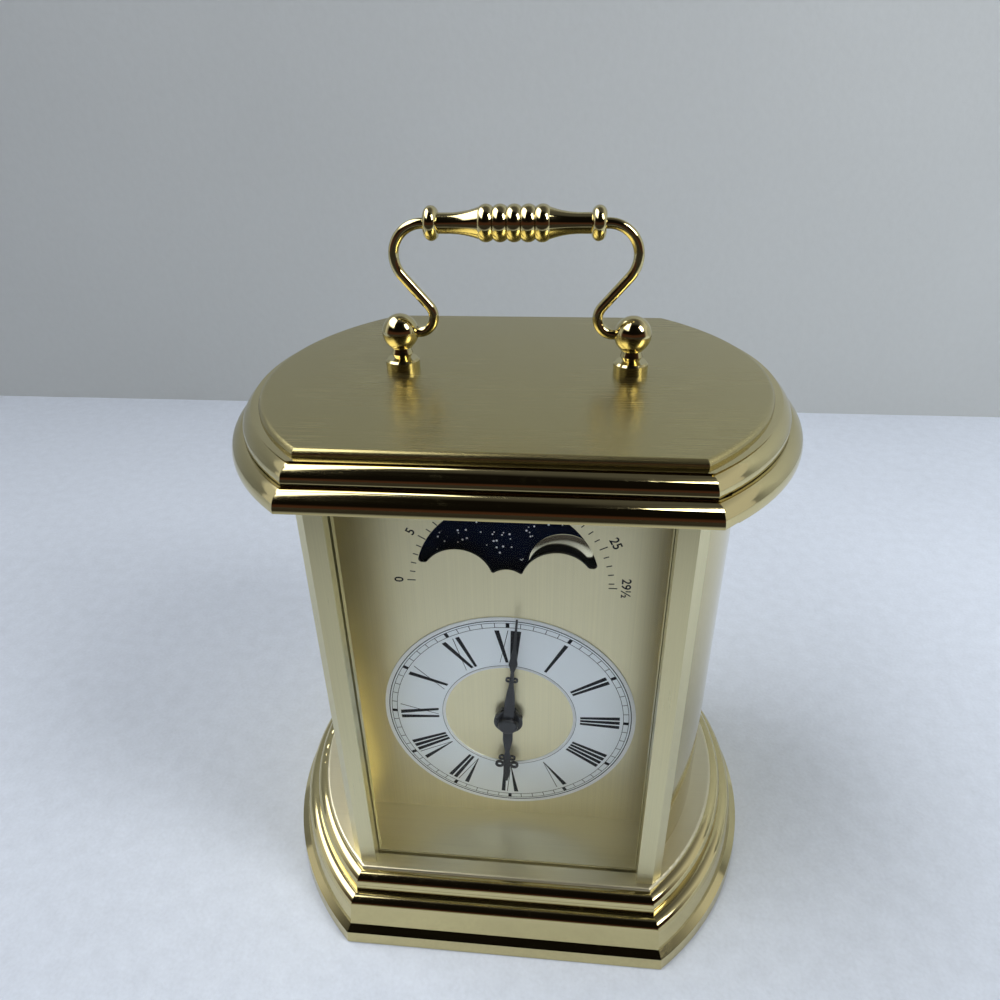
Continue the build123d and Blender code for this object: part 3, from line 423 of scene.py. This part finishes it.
def studio_cloth(colour):
    """Pale cloth of the table."""
    finish = Finish("studio_cloth")
    weave = finish.noise(1.4 * MM, 3)
    folds = finish.noise(120 * MM, 2)
    mottle = finish.noise(7 * MM, 4)
    tone = folds * 0.2 + weave * 0.4 + mottle * 0.4
    finish.set(base_color=finish.mix(tone, shade(colour, 0.78), shade(colour, 1.22)),
               roughness=weave * 0.1 + 0.85)
    finish.bump(weave + folds * 4, 0.3 * MM, 0.6)
    return finish.material


def dark_card():
    """A glowing card that paints a reflection of the dim front of the room into metal, where only glossy rays
    see it: pale where it meets the cloth.
    """
    finish = Finish("dark_card")
    close_by = finish.ramp(0 - finish.axis("Y"), (0.28, 1), (0.44, 0))
    to_the_right = finish.ramp(finish.axis("X") + 0.5, (0.25, 0.6), (0.75, 1))
    glow = finish.mix(close_by * to_the_right, (0.012, 0.008, 0.006, 1), (0.67, 0.72, 0.78, 1))
    finish.set(base_color=(0, 0, 0, 1), roughness=1.0, emission_strength=1.0, emission_color=glow)
    return finish.material


# Modelling

def deselect():
    bpy.ops.object.select_all(action="DESELECT")


def rename(name):
    """Names the object that an operator has just made, and returns it."""
    made = bpy.context.object
    made.name = made.data.name = name
    return made


def loose_copy(node, name):
    """A merged copy of a CAD node, ready to be shaped. The node itself stays as it is."""
    deselect()
    piece = NODES[node].copy()
    piece.data = NODES[node].data.copy()
    bpy.context.collection.objects.link(piece)
    piece.parent = None
    piece.select_set(True)
    bpy.context.view_layer.objects.active = piece
    for key in list(piece.keys()):
        del piece[key]
    bpy.ops.object.mode_set(mode="EDIT")
    bpy.ops.mesh.select_all(action="SELECT")
    bpy.ops.mesh.remove_doubles(threshold=NEAR)
    bpy.ops.mesh.customdata_custom_splitnormals_clear()
    close_up()
    return rename(name)


def select_vertices(piece, wanted):
    """Selects the vertices for which wanted(place) is true, in edit mode."""
    bpy.ops.mesh.select_all(action="DESELECT")
    bpy.ops.object.mode_set(mode="OBJECT")
    for vertex in piece.data.vertices:
        vertex.select = wanted(vertex.co)
    bpy.ops.object.mode_set(mode="EDIT")


def close_up():
    """Turns all faces outwards and leaves edit mode."""
    bpy.ops.mesh.select_all(action="SELECT")
    bpy.ops.mesh.normals_make_consistent(inside=False)
    bpy.ops.object.mode_set(mode="OBJECT")


def thicken(ink):
    """Gives a flat shape, which is in edit mode, the thickness of its ink towards the reader."""
    bpy.ops.mesh.select_all(action="SELECT")
    bpy.ops.mesh.extrude_region_move(TRANSFORM_OT_translate={"value": (0, -ink, 0)})
    close_up()


def smooth(angle):
    """Smooths the active object where its faces meet at less than an angle in degrees."""
    bpy.ops.object.shade_smooth_by_angle(angle=math.radians(angle))


def add_upright(primitive, **settings):
    """Adds a flat primitive that faces the reader, and opens it in edit mode."""
    deselect()
    primitive(rotation=(QUARTER, 0, 0), **settings)
    bpy.ops.object.transform_apply(location=False, rotation=True, scale=False)
    bpy.ops.object.mode_set(mode="EDIT")
    return bpy.context.object


def turned_copy(piece, turn):
    """A copy with its own mesh, turned about the axis that faces the reader. A turn is clockwise."""
    copy = piece.copy()
    copy.data = piece.data.copy()
    copy.data.transform(Matrix.Rotation(turn, 4, "Y"))
    bpy.context.collection.objects.link(copy)
    return copy


def copies(piece, turns):
    """A turned copy of a piece for each turn. The piece itself is removed."""
    made = [turned_copy(piece, turn) for turn in turns]
    bpy.data.objects.remove(piece)
    return made


def joined(pieces, name, place=(0, 0, 0)):
    """Joins pieces into one object, puts its mesh in its place and names it."""
    deselect()
    for piece in pieces:
        piece.select_set(True)
    bpy.context.view_layer.objects.active = pieces[0]
    bpy.ops.object.join()
    whole = rename(name)
    whole.data.transform(Matrix.Translation(place) @ whole.matrix_world)
    whole.matrix_world = Matrix.Identity(4)
    return whole


def on_ring(pieces, name):
    """Joins pieces, made about the origin, and lays them on the face of the chapter ring."""
    return joined(pieces, name, (HAND_AXIS.x, RING_FACE, HAND_AXIS.z))


def stroke(foot, foot_width, top, top_width, ink):
    """A printed stroke that stands on the dial, from foot to top, both (x, z), each with its own width."""
    piece = add_upright(bpy.ops.mesh.primitive_plane_add, size=1)
    for (x, z), width, end in ((foot, foot_width, -0.5), (top, top_width, 0.5)):
        select_vertices(piece, lambda place: abs(place.z - end) < NEAR)
        bpy.ops.transform.resize(value=(width, 1, 1), center_override=(0, 0, 0))
        bpy.ops.transform.translate(value=(x, 0, z - end))
    thicken(ink)
    return piece


def tick(width, start, end, ink):
    """A printed tick that points away from the middle of a scale."""
    return stroke((0, start), width, (0, end), width, ink)


def ring_line(radius, width, ink):
    """A printed circle about the y axis: a round edge extruded inwards and thickened."""
    outer, inner = radius + width / 2, radius - width / 2
    piece = add_upright(bpy.ops.mesh.primitive_circle_add, vertices=CIRCLE_SIDES, radius=outer)
    bpy.ops.mesh.select_all(action="SELECT")
    bpy.ops.mesh.extrude_region_move()
    bpy.ops.transform.resize(value=(inner / outer, 1, inner / outer), center_override=(0, 0, 0))
    thicken(ink)
    return piece


def finish_piece(piece, material, body):
    """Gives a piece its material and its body."""
    piece.data.materials.clear()
    piece.data.materials.append(material)
    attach(piece, body)


def dress(material, slot):
    """Gives a material to every CAD node of a slot."""
    for node, own in SLOT_OF.items():
        if own == slot:
            dress_node(material, node)


def dress_node(material, node):
    """Gives a material to one CAD node."""
    NODES[node].data.materials.clear()
    NODES[node].data.materials.append(material)


def found(name):
    return bpy.data.materials[name]


# Operators

class CLOCK_OT_brass(bpy.types.Operator):
    """Finish the mouldings, plates, panels, posts, door, finials and handle"""
    bl_idname = "clock.brass"
    bl_label = "Brass case"

    def execute(self, context):
        colours = context.scene.clock_colours
        dress(polished_brass(colours.polished), "polished_brass")
        dress(satin_brass(colours.satin), "satin_brass")
        dress(brushed_brass(colours.brushed), "brushed_brass")
        dress(dial_brass(colours.dial), "dial_brass")
        dress_node(deck_brass(colours.deck), "base_deck")
        return {"FINISHED"}


class BowedPlan:
    """The cap's plan, straight in front and behind and bowed at the sides, read off the top plate's flat."""

    def __init__(self):
        flat = [vertex.co for vertex in NODES["cap_top_plate"].data.vertices if vertex.co.z > CAP_TOP - NEAR]
        self.half_depth = max(place.y for place in flat)
        half_breadth = max(place.x for place in flat)
        bow = half_breadth - max(place.x for place in flat if place.y > self.half_depth - NEAR)
        self.radius = (self.half_depth ** 2 + bow ** 2) / (2 * bow)
        self.inset = self.radius - half_breadth

    def past(self, place):
        """How far a place lies past the straight front or back, and how far past the bowed side."""
        return abs(place.y) - self.half_depth, math.hypot(abs(place.x) + self.inset, place.y) - self.radius

    def moved(self, place, reach):
        """The x and y of a place once it lies reach past the plan, on the same edge or corner as before."""
        past_front, past_side = self.past(place)
        x, y = place.x, place.y
        if past_front > past_side - NEAR:
            y = math.copysign(self.half_depth + reach, y)
            if past_side > past_front - NEAR:
                x = math.copysign(math.sqrt((self.radius + reach) ** 2 - y * y) - self.inset, x)
        else:
            grow = (self.radius + reach) / (self.radius + past_side)
            x, y = math.copysign((abs(x) + self.inset) * grow - self.inset, x), y * grow
        return x, y


class CLOCK_OT_cap_rolls(bpy.types.Operator):
    """Round the two rolls of the cap, each of which starts right under the edge above it"""
    bl_idname = "clock.cap_rolls"
    bl_label = "Cap rolls"

    # Each roll: its node, where its edge starts and ends in the solid, and where it starts here. All are
    # distances past the top plate's flat.
    ROLLS = (
        ("cap_upper_moulding", 4.0 * MM, 6.7 * MM, 1.7 * MM),
        ("cap_lower_moulding", 7.7 * MM, 10.7 * MM, 6.2 * MM),
    )
    # The roll's section is part of an ellipse, from this angle above the level down to that one below it.
    ABOVE = math.radians(80)
    BELOW = math.radians(-10)

    def execute(self, context):
        plan = BowedPlan()
        for node, start, end, top in self.ROLLS:
            roll = loose_copy(node, node.replace("moulding", "roll"))
            low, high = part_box(node)
            for vertex in roll.data.vertices:
                if max(plan.past(vertex.co)) > start - NEAR:
                    reach, height = self.on_ellipse(vertex.co.z, low.z, high.z, end, top)
                    vertex.co = (*plan.moved(vertex.co, reach), height)
            roll.data.update()
            smooth(30)
            finish_piece(roll, found("mirror_brass"), "case")
            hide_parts(node)
        return {"FINISHED"}

    def on_ellipse(self, z, low, high, end, top):
        """How far past the flat, and how high, a vertex of the half-round edge goes on the roll's ellipse."""
        across = (end - top) / (1 - math.cos(self.ABOVE))
        upright = (high - low) / (math.sin(self.ABOVE) - math.sin(self.BELOW))
        share = math.acos(max(-1, min(1, (2 * z - low - high) / (high - low)))) / math.pi
        turn = self.ABOVE + (self.BELOW - self.ABOVE) * share
        return end - across * (1 - math.cos(turn)), high - upright * (math.sin(self.ABOVE) - math.sin(turn))


class CLOCK_OT_finials(bpy.types.Operator):
    """Fill out the balls and the necks of the two finials"""
    bl_idname = "clock.finials"
    bl_label = "Ball finials"

    # The ball, the foot's height and the neck's smallest and largest radius, as in the solids
    BALL = 4.95 * MM
    FOOT = 3.3 * MM
    NECK = (1.8 * MM, 2.8 * MM)
    # The neck ends this share of the ball's radius under the ball's middle.
    NECK_END_SHARE = 0.75
    BALL_GROWTH = 1.13
    NECK_GROWTH = 1.3

    def execute(self, context):
        for node in ("finial_left", "finial_right"):
            eye = Vector((middle(node).x, 0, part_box(node)[1].z - self.BALL))
            finial = loose_copy(node, node.replace("finial", "ball_finial"))
            bpy.ops.object.mode_set(mode="EDIT")
            select_vertices(finial, lambda place: self.on_neck(place, eye))
            bpy.ops.transform.resize(value=(self.NECK_GROWTH, self.NECK_GROWTH, 1), center_override=eye)
            select_vertices(finial, lambda place: abs((place - eye).length - self.BALL) < 2 * NEAR)
            bpy.ops.transform.resize(value=[self.BALL_GROWTH] * 3, center_override=eye)
            bpy.ops.object.mode_set(mode="OBJECT")
            smooth(35)
            finish_piece(finial, found("mirror_brass"), "case")
            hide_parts(node)
        return {"FINISHED"}

    def on_neck(self, place, eye):
        """Whether a place lies on the neck, above the foot and below the ball."""
        foot_top = CAP_TOP + self.FOOT - NEAR
        ball_foot = eye.z - self.NECK_END_SHARE * self.BALL
        thin, thick = self.NECK
        return foot_top < place.z < ball_foot and thin < math.hypot(place.x - eye.x, place.y) < thick


class CLOCK_OT_movement(bpy.types.Operator):
    """Finish the movement, its battery, its knobs and the screws"""
    bl_idname = "clock.movement"
    bl_label = "Movement"

    def execute(self, context):
        dress(moulded_plastic("black_plastic", (0.02, 0.02, 0.022, 1), 0.05 * MM), "black_plastic")
        dress(moulded_plastic("knob_plastic", (0.035, 0.035, 0.038, 1)), "knob_plastic")
        dress(moulded_plastic("catch_plastic", (0.10, 0.07, 0.045, 1)), "catch_plastic")
        dress(zinc_steel(), "steel")
        dress(battery_sleeve(), "battery")
        return {"FINISHED"}


class CLOCK_OT_dial(bpy.types.Operator):
    """Finish the silvered ring, the hands and the moon disc"""
    bl_idname = "clock.dial"
    bl_label = "Dial, hands and disc"

    def execute(self, context):
        colours = context.scene.clock_colours
        black = painted("black_hand", colours.print, 0.25)
        dress(silvered(colours.silver), "silvered_ring")
        dress(black, "black_hand")
        dress_node(black, "movement_nut")
        dress(painted("night_sky", colours.night, 0.3, 0.0), "moon_disc")
        return {"FINISHED"}


class CLOCK_OT_minute_track(bpy.types.Operator):
    """Print the minute track and the borders on the ring"""
    bl_idname = "clock.minute_track"
    bl_label = "Minute track"

    EDGE_WIDTH = 0.3 * MM
    LINE_WIDTH = 0.16 * MM
    BORDER_RADIUS = 22.9 * MM
    BORDER_WIDTH = 0.14 * MM
    TICK_WIDTH = 0.2 * MM
    SQUARE_FOOT = 1.15 * MM
    SQUARE_TOP = 1.2 * MM
    # Middle radius and width of the white rim outside and of the one inside
    RIMS = ((RING_RADIUS - 0.6 * MM, 1.1 * MM), (22.35 * MM, 0.8 * MM))

    def execute(self, context):
        sizes = context.scene.clock_sizes
        ink, outer, inner = sizes.ink, sizes.track_outer, sizes.track_inner
        circles = ((sizes.ring_edge, self.EDGE_WIDTH), (outer, self.LINE_WIDTH), (inner, self.LINE_WIDTH),
                   (self.BORDER_RADIUS, self.BORDER_WIDTH))
        lines = [ring_line(radius, width, ink) for radius, width in circles]
        minute = tick(self.TICK_WIDTH, inner, outer, ink)
        lines += copies(minute, [TURN * i / MINUTES for i in range(MINUTES)])
        square = stroke((0, inner), self.SQUARE_FOOT, (0, outer), self.SQUARE_TOP, ink)
        lines += copies(square, [TURN * i / HOURS for i in range(HOURS)])
        black = painted("dial_print", context.scene.clock_colours.print, 0.4, 0.2)
        finish_piece(on_ring(lines, "minute_track"), black, "case")
        rims = [ring_line(radius, width, 2 * ink) for radius, width in self.RIMS]
        white = painted("rim_white", (0.95, 0.96, 0.98, 1), 0.3)
        finish_piece(on_ring(rims, "white_rims"), white, "case")
        return {"FINISHED"}


class CLOCK_OT_numerals(bpy.types.Operator):
    """Print the twelve hour numerals on the ring, tops outward"""
    bl_idname = "clock.numerals"
    bl_label = "Hour numerals"

    # What each hour is written with, from left to right as its top points up
    WRITTEN = ("I", "II", "III", "IIII", "V", "VI", "VII", "VIII", "IX", "X", "XI", "XII")
    # The widths of the signs and of the space between two, in widths of a bar
    WIDTH = {"I": 1.0, "V": 3.0, "X": 3.4}
    SPACE = 0.42
    # The strokes of each sign: x at the foot, width there, x at the top, width there, in widths of a bar.
    # A thin stroke has None for its widths.
    STROKES = {
        "I": ((0, 1, 0, 1),),
        "V": ((0.15, 0.25, -0.95, 1.1), (0.2, None, 1.4, None)),
        "X": ((1.1, 1.1, -1.1, 1.1), (-1.5, None, 1.5, None)),
    }

    def execute(self, context):
        sizes = context.scene.clock_sizes
        centre = (sizes.numeral_foot + sizes.numeral_top) / 2
        signs = {sign: [self.leaning(sizes, centre, *ends) for ends in strokes]
                 for sign, strokes in self.STROKES.items()}
        printed = []
        for hour, text in enumerate(self.WRITTEN, 1):
            width = sum(self.WIDTH[sign] for sign in text) + self.SPACE * (len(text) - 1)
            along = -width / 2
            for sign in text:
                shift = (along + self.WIDTH[sign] / 2) * sizes.bar / centre
                printed += [turned_copy(piece, TURN * hour / HOURS + shift) for piece in signs[sign]]
                along += self.WIDTH[sign] + self.SPACE
        for piece in sum(signs.values(), []):
            bpy.data.objects.remove(piece)
        finish_piece(on_ring(printed, "hour_numerals"), found("dial_print"), "case")
        return {"FINISHED"}

    def leaning(self, sizes, centre, foot_x, foot_width, top_x, top_width):
        """A stroke whose two ends widen away from the dial's middle as the ring does."""
        ends = []
        radii = (sizes.numeral_foot, sizes.numeral_top)
        for radius, x, width in zip(radii, (foot_x, top_x), (foot_width, top_width)):
            spread = radius / centre
            wide = sizes.hairline if width is None else width * sizes.bar
            ends += [(x * sizes.bar * spread, radius), wide * spread]
        return stroke(*ends, sizes.ink)


class CLOCK_OT_age_scale(bpy.types.Operator):
    """Print the moon's age around the window, one tick a day"""
    bl_idname = "clock.age_scale"
    bl_label = "Moon age scale"

    DAYS = 29.5
    LABELS = {0: "0", 5: "5", 10: "10", 15: "15", 20: "20", 25: "25", 29.5: "29½"}
    # The scale is printed a little to the right of the disc's axis and below it.
    SHIFT_X = 1.2 * MM
    SHIFT_Z = -0.9 * MM
    TICK_WIDTH = 0.34 * MM
    DAY_TICK = 1.7 * MM
    LABEL_TICK = 2.6 * MM
    LETTER = 4.0 * MM
    LETTER_BOLDNESS = 0.07 * MM
    LABEL_DISTANCE = 3.9 * MM

    def execute(self, context):
        sizes = context.scene.clock_sizes
        radius, ink = sizes.age_radius, sizes.ink
        days = [*range(30), self.DAYS]
        marks = []
        for reach, marked in ((self.DAY_TICK, False), (self.LABEL_TICK, True)):
            turns = [self.turn_of(day) for day in days if (day in self.LABELS) == marked]
            marks += copies(tick(self.TICK_WIDTH, radius, radius + reach, ink), turns)
        for day, text in self.LABELS.items():
            marks += copies(self.label(text, radius + self.LABEL_DISTANCE, ink), [self.turn_of(day)])
        place = (MOON_AXIS.x + self.SHIFT_X, PLATE_FACE, MOON_AXIS.z + self.SHIFT_Z)
        finish_piece(joined(marks, "age_scale", place), found("dial_print"), "case")
        return {"FINISHED"}

    def turn_of(self, day):
        """The turn from upright, clockwise, at which a day is printed."""
        return TURN / 2 * day / self.DAYS - QUARTER

    def label(self, text, height, ink):
        """A word of print that stands upright above the middle of the scale."""
        deselect()
        bpy.ops.object.text_add(rotation=(QUARTER, 0, 0))
        letters = bpy.context.object.data
        letters.body = text
        letters.size = self.LETTER
        letters.offset = self.LETTER_BOLDNESS
        letters.align_x = "CENTER"
        letters.extrude = ink / 2
        letters.resolution_u = 3
        bpy.ops.object.convert(target="MESH")
        bpy.ops.object.transform_apply(location=False, rotation=True, scale=False)
        label = bpy.context.object
        label.data.transform(Matrix.Translation((0, 0, height)))
        return label


class CLOCK_OT_night_sky(bpy.types.Operator):
    """Lay the two moons and the stars on the moon disc"""
    bl_idname = "clock.night_sky"
    bl_label = "Moons and stars"

    # Each star has a twin half a turn on, so that both halves of the disc show the same sky.
    STARS = 64
    SCATTER_SEED = 4
    STAR_RADIUS = 0.27 * MM
    STAR_GROWTHS = (0.7, 0.8, 1.0, 1.25)
    # How much of the disc the stars fill, as shares of its area from the middle
    SKY_SHARES = (0.05, 0.9)
    MOON_MARGIN = 1.2 * MM
    MOON_ANGLES = (16, 196)
    # Steps of each moon's low dome from its rim inwards: how wide and how high
    DOME = ((0.15 * MM, 0.06 * MM), (2.0 * MM, 0.22 * MM), (2.2 * MM, 0.19 * MM), (2.2 * MM, 0.12 * MM),
            (2.0 * MM, 0.05 * MM))

    def execute(self, context):
        sizes = context.scene.clock_sizes
        middles = [self.spot(sizes.moon_orbit, angle) for angle in self.MOON_ANGLES]
        clear = sizes.moon_radius + self.MOON_MARGIN
        scatter = random.Random(self.SCATTER_SEED)
        stars = []
        while len(stars) < 2 * self.STARS:
            radius = MOON_DISC_RADIUS * math.sqrt(scatter.uniform(*self.SKY_SHARES))
            angle, growth = scatter.uniform(0, 180), scatter.choice(self.STAR_GROWTHS)
            if all((self.spot(radius, angle) - moon).length >= clear for moon in middles):
                for half in (0, 180):
                    star = self.disc(self.spot(radius, angle + half), self.STAR_RADIUS * growth, STAR_SIDES)
                    thicken(sizes.ink)
                    stars.append(star)
        white = painted("star_white", (0.7, 0.74, 0.8, 1), 0.4)
        finish_piece(joined(stars, "stars"), white, "moon_disc")
        moons = [self.moon(place, sizes.moon_radius, sizes.ink) for place in middles]
        finish_piece(joined(moons, "moons"), moon_foil(), "moon_disc")
        return {"FINISHED"}

    def spot(self, radius, angle):
        """A place on the disc's face, from its distance to the axis and its angle in degrees."""
        across, up = radius * math.cos(math.radians(angle)), radius * math.sin(math.radians(angle))
        return Vector((MOON_AXIS.x + across, MOON_DISC_FACE, MOON_AXIS.z + up))

    def disc(self, place, radius, sides):
        """A flat disc that faces the reader, in edit mode."""
        return add_upright(bpy.ops.mesh.primitive_circle_add, vertices=sides, radius=radius, fill_type="NGON",
                           location=place)

    def moon(self, place, radius, ink):
        """A moon with a low dome."""
        moon = self.disc(place, radius, MOON_SIDES)
        bpy.ops.mesh.extrude_region_move(TRANSFORM_OT_translate={"value": (0, -2 * ink, 0)})
        for width, height in self.DOME:
            bpy.ops.mesh.inset(thickness=width, depth=height)
        close_up()
        smooth(30)
        return moon


class CLOCK_OT_glass(bpy.types.Operator):
    """Finish the front glass"""
    bl_idname = "clock.glass"
    bl_label = "Front glass"

    def execute(self, context):
        dress(clear_glass(), "glass")
        return {"FINISHED"}


class CLOCK_OT_felt(bpy.types.Operator):
    """Lay the felt pad under the base, with a soft worn edge"""
    bl_idname = "clock.felt"
    bl_label = "Felt pad"

    EDGE = 0.3 * MM

    def execute(self, context):
        pad = loose_copy("felt_pad", "felt")
        bpy.ops.object.mode_set(mode="EDIT")
        bpy.ops.mesh.select_all(action="SELECT")
        bpy.ops.mesh.dissolve_limited(angle_limit=math.radians(2))
        bpy.ops.object.mode_set(mode="OBJECT")
        bevel = pad.modifiers.new("worn_edge", "BEVEL")
        bevel.width = self.EDGE
        bevel.segments = 3
        bevel.limit_method = "ANGLE"
        bpy.ops.object.modifier_apply(modifier=bevel.name)
        smooth(40)
        finish_piece(pad, short_felt(context.scene.clock_colours.felt), "case")
        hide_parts("felt_pad")
        return {"FINISHED"}


class CLOCK_OT_studio(bpy.types.Operator):
    """Set the table, the wall, the lamp and the camera"""
    bl_idname = "clock.studio"
    bl_label = "Studio"

    # The camera of the photograph: its place in metres, and its right, up and backward directions
    CAMERA_PLACE = (0.017901, -0.219219, 0.262565)
    CAMERA_AXES = ((0.9951, 0.0970, -0.0167), (-0.0333, 0.4911, 0.8705), (0.0927, -0.8657, 0.4919))
    LENS = 26.51
    SENSOR = 36
    NEAREST = 0.01
    # The sheets of the stage: their size, how far behind the clock the wall stands, how high it ends, where
    # the glowing card in front of the clock begins and how high it lies. The card paints a reflection of a
    # dim room into the metal.
    ROOM = 5.0
    WALL = 0.42
    WALL_TOP = 0.7
    CARD = -0.14
    CARD_HEIGHT = 2 * MM
    # The lamp: where it hangs, what it shines at, its width and height, and its watts
    LAMP_PLACE = Vector((1.15, -0.5, 1.2))
    LAMP_AIM = Vector((0, 0, 0.1))
    LAMP_SIZE = (0.5, 0.8)
    LAMP_POWER = 16
    # What the metal reflects: a dim front with a band of brown wood, pale sides, a dim ceiling and a window
    DIM = (0.006, 0.005, 0.004, 1)
    WOOD = (0.075, 0.032, 0.022, 1)
    PALE = (0.72, 0.73, 0.74, 1)
    CEILING = (0.10, 0.10, 0.105, 1)
    DAYLIGHT = (4.6, 4.6, 4.7, 1)
    # Where each begins, as pairs of a position along a direction and a level
    FRONT_EDGE = ((0.02, 0), (0.30, 1))
    WOOD_BAND = ((0.36, 0), (0.46, 1), (0.56, 1), (0.64, 0))
    CEILING_EDGE = ((0.55, 0), (0.9, 1))
    WINDOW_SIDE = ((0.18, 0), (0.22, 1))
    WINDOW_SILL = ((0.52, 0), (0.66, 1))
    # The window is tall, stands at the upper left and narrows to a point towards the middle.
    WINDOW_MIDDLE = 0.05
    WINDOW_SLANT = 0.45
    # What the camera sees past the sheets
    BACKDROP = (0.42, 0.44, 0.45, 1)

    def execute(self, context):
        colours = context.scene.clock_colours
        half = self.ROOM / 2
        self.sheet("studio_floor", (0, self.WALL - half, 0), 0, studio_cloth(colours.floor))
        self.sheet("studio_wall", (0, self.WALL, self.WALL_TOP - half), QUARTER, studio_wall(colours.wall))
        # A glowing card seen only by glossy rays: it paints a reflection of a dim room, pale near the cloth,
        # into the metal
        card = self.sheet("studio_card", (0, self.CARD - half, self.CARD_HEIGHT), 0, dark_card())
        card.visible_camera = card.visible_diffuse = card.visible_shadow = False
        self.add_camera(context)
        self.add_room(context)
        self.add_lamp(context)
        context.scene.view_settings.view_transform = "Standard"
        return {"FINISHED"}

    def sheet(self, name, place, tilt, material):
        """A flat sheet of the stage."""
        deselect()
        bpy.ops.mesh.primitive_plane_add(size=self.ROOM, location=place, rotation=(tilt, 0, 0))
        bpy.ops.object.transform_apply(location=True, rotation=True, scale=True)
        sheet = rename(name)
        sheet.data.materials.append(material)
        return sheet

    def add_camera(self, context):
        data = bpy.data.cameras.new("camera")
        data.lens, data.sensor_width, data.clip_start = self.LENS, self.SENSOR, self.NEAREST
        camera = bpy.data.objects.new("camera", data)
        turn = Matrix(self.CAMERA_AXES).transposed().to_4x4()
        camera.matrix_world = Matrix.Translation(self.CAMERA_PLACE) @ turn
        context.collection.objects.link(camera)
        context.scene.camera = camera

    def add_lamp(self, context):
        data = bpy.data.lights.new("window_right", "AREA")
        data.shape, data.energy = "RECTANGLE", self.LAMP_POWER
        data.size, data.size_y = self.LAMP_SIZE
        lamp = bpy.data.objects.new("window_right", data)
        context.collection.objects.link(lamp)
        lamp.location = self.LAMP_PLACE
        lamp.rotation_euler = (self.LAMP_AIM - self.LAMP_PLACE).to_track_quat("-Z", "Y").to_euler()

    def add_room(self, context):
        """The room around the sheets, drawn in the world by direction: -y is the side of the camera."""
        world = bpy.data.worlds.new("studio")
        world.use_nodes = True
        context.scene.world = world
        sky = Nodes(world.node_tree, "Generated")
        x, y, z = [sky.axis(name) for name in "XYZ"]
        wood = sky.ramp(z * 0.5 + 0.5, *self.WOOD_BAND)
        front = sky.mix(wood, self.DIM, self.WOOD)
        sides = sky.mix(sky.ramp(z, *self.CEILING_EDGE), self.PALE, self.CEILING)
        walls = sky.mix(sky.ramp(0 - y, *self.FRONT_EDGE), sides, front)
        slant = sky.maths("ABSOLUTE", y + self.WINDOW_MIDDLE) * self.WINDOW_SLANT
        window = sky.ramp(0 - x - slant, *self.WINDOW_SIDE) * sky.ramp(z, *self.WINDOW_SILL)
        lit = sky.mix(window, walls, self.DAYLIGHT)
        path = sky.add("ShaderNodeLightPath").outputs
        seen = sky.maths("MAXIMUM", path["Is Camera Ray"], path["Is Transmission Ray"])
        sky.feed(world.node_tree.nodes["Background"].inputs["Color"], sky.mix(seen, lit, self.BACKDROP))


class CLOCK_PT_sidebar(bpy.types.Panel):
    """Buttons that make the clock, step by step"""
    bl_idname = "CLOCK_PT_sidebar"
    bl_label = "Moon Phase Desk Clock"
    bl_space_type = "VIEW_3D"
    bl_region_type = "UI"
    bl_category = "Clock"

    def draw(self, context):
        for group in (context.scene.clock_sizes, context.scene.clock_colours):
            for name in group.__annotations__:
                self.layout.prop(group, name)
        for operator in STEPS:
            self.layout.operator(operator.bl_idname)


STEPS = (
    CLOCK_OT_studio, CLOCK_OT_brass, CLOCK_OT_cap_rolls, CLOCK_OT_finials, CLOCK_OT_movement, CLOCK_OT_dial,
    CLOCK_OT_minute_track, CLOCK_OT_numerals, CLOCK_OT_age_scale, CLOCK_OT_night_sky, CLOCK_OT_glass,
    CLOCK_OT_felt,
)
CLASSES = (ClockSizes, ClockColours, *STEPS, CLOCK_PT_sidebar)


def register():
    for item in CLASSES:
        bpy.utils.register_class(item)
    bpy.types.Scene.clock_sizes = bpy.props.PointerProperty(type=ClockSizes)
    bpy.types.Scene.clock_colours = bpy.props.PointerProperty(type=ClockColours)


def unregister():
    del bpy.types.Scene.clock_sizes
    del bpy.types.Scene.clock_colours
    for item in reversed(CLASSES):
        bpy.utils.unregister_class(item)


def main():
    register()
    for operator in STEPS:
        group, name = operator.bl_idname.split(".")
        getattr(getattr(bpy.ops, group), name)()


if __name__ == "__main__":
    main()
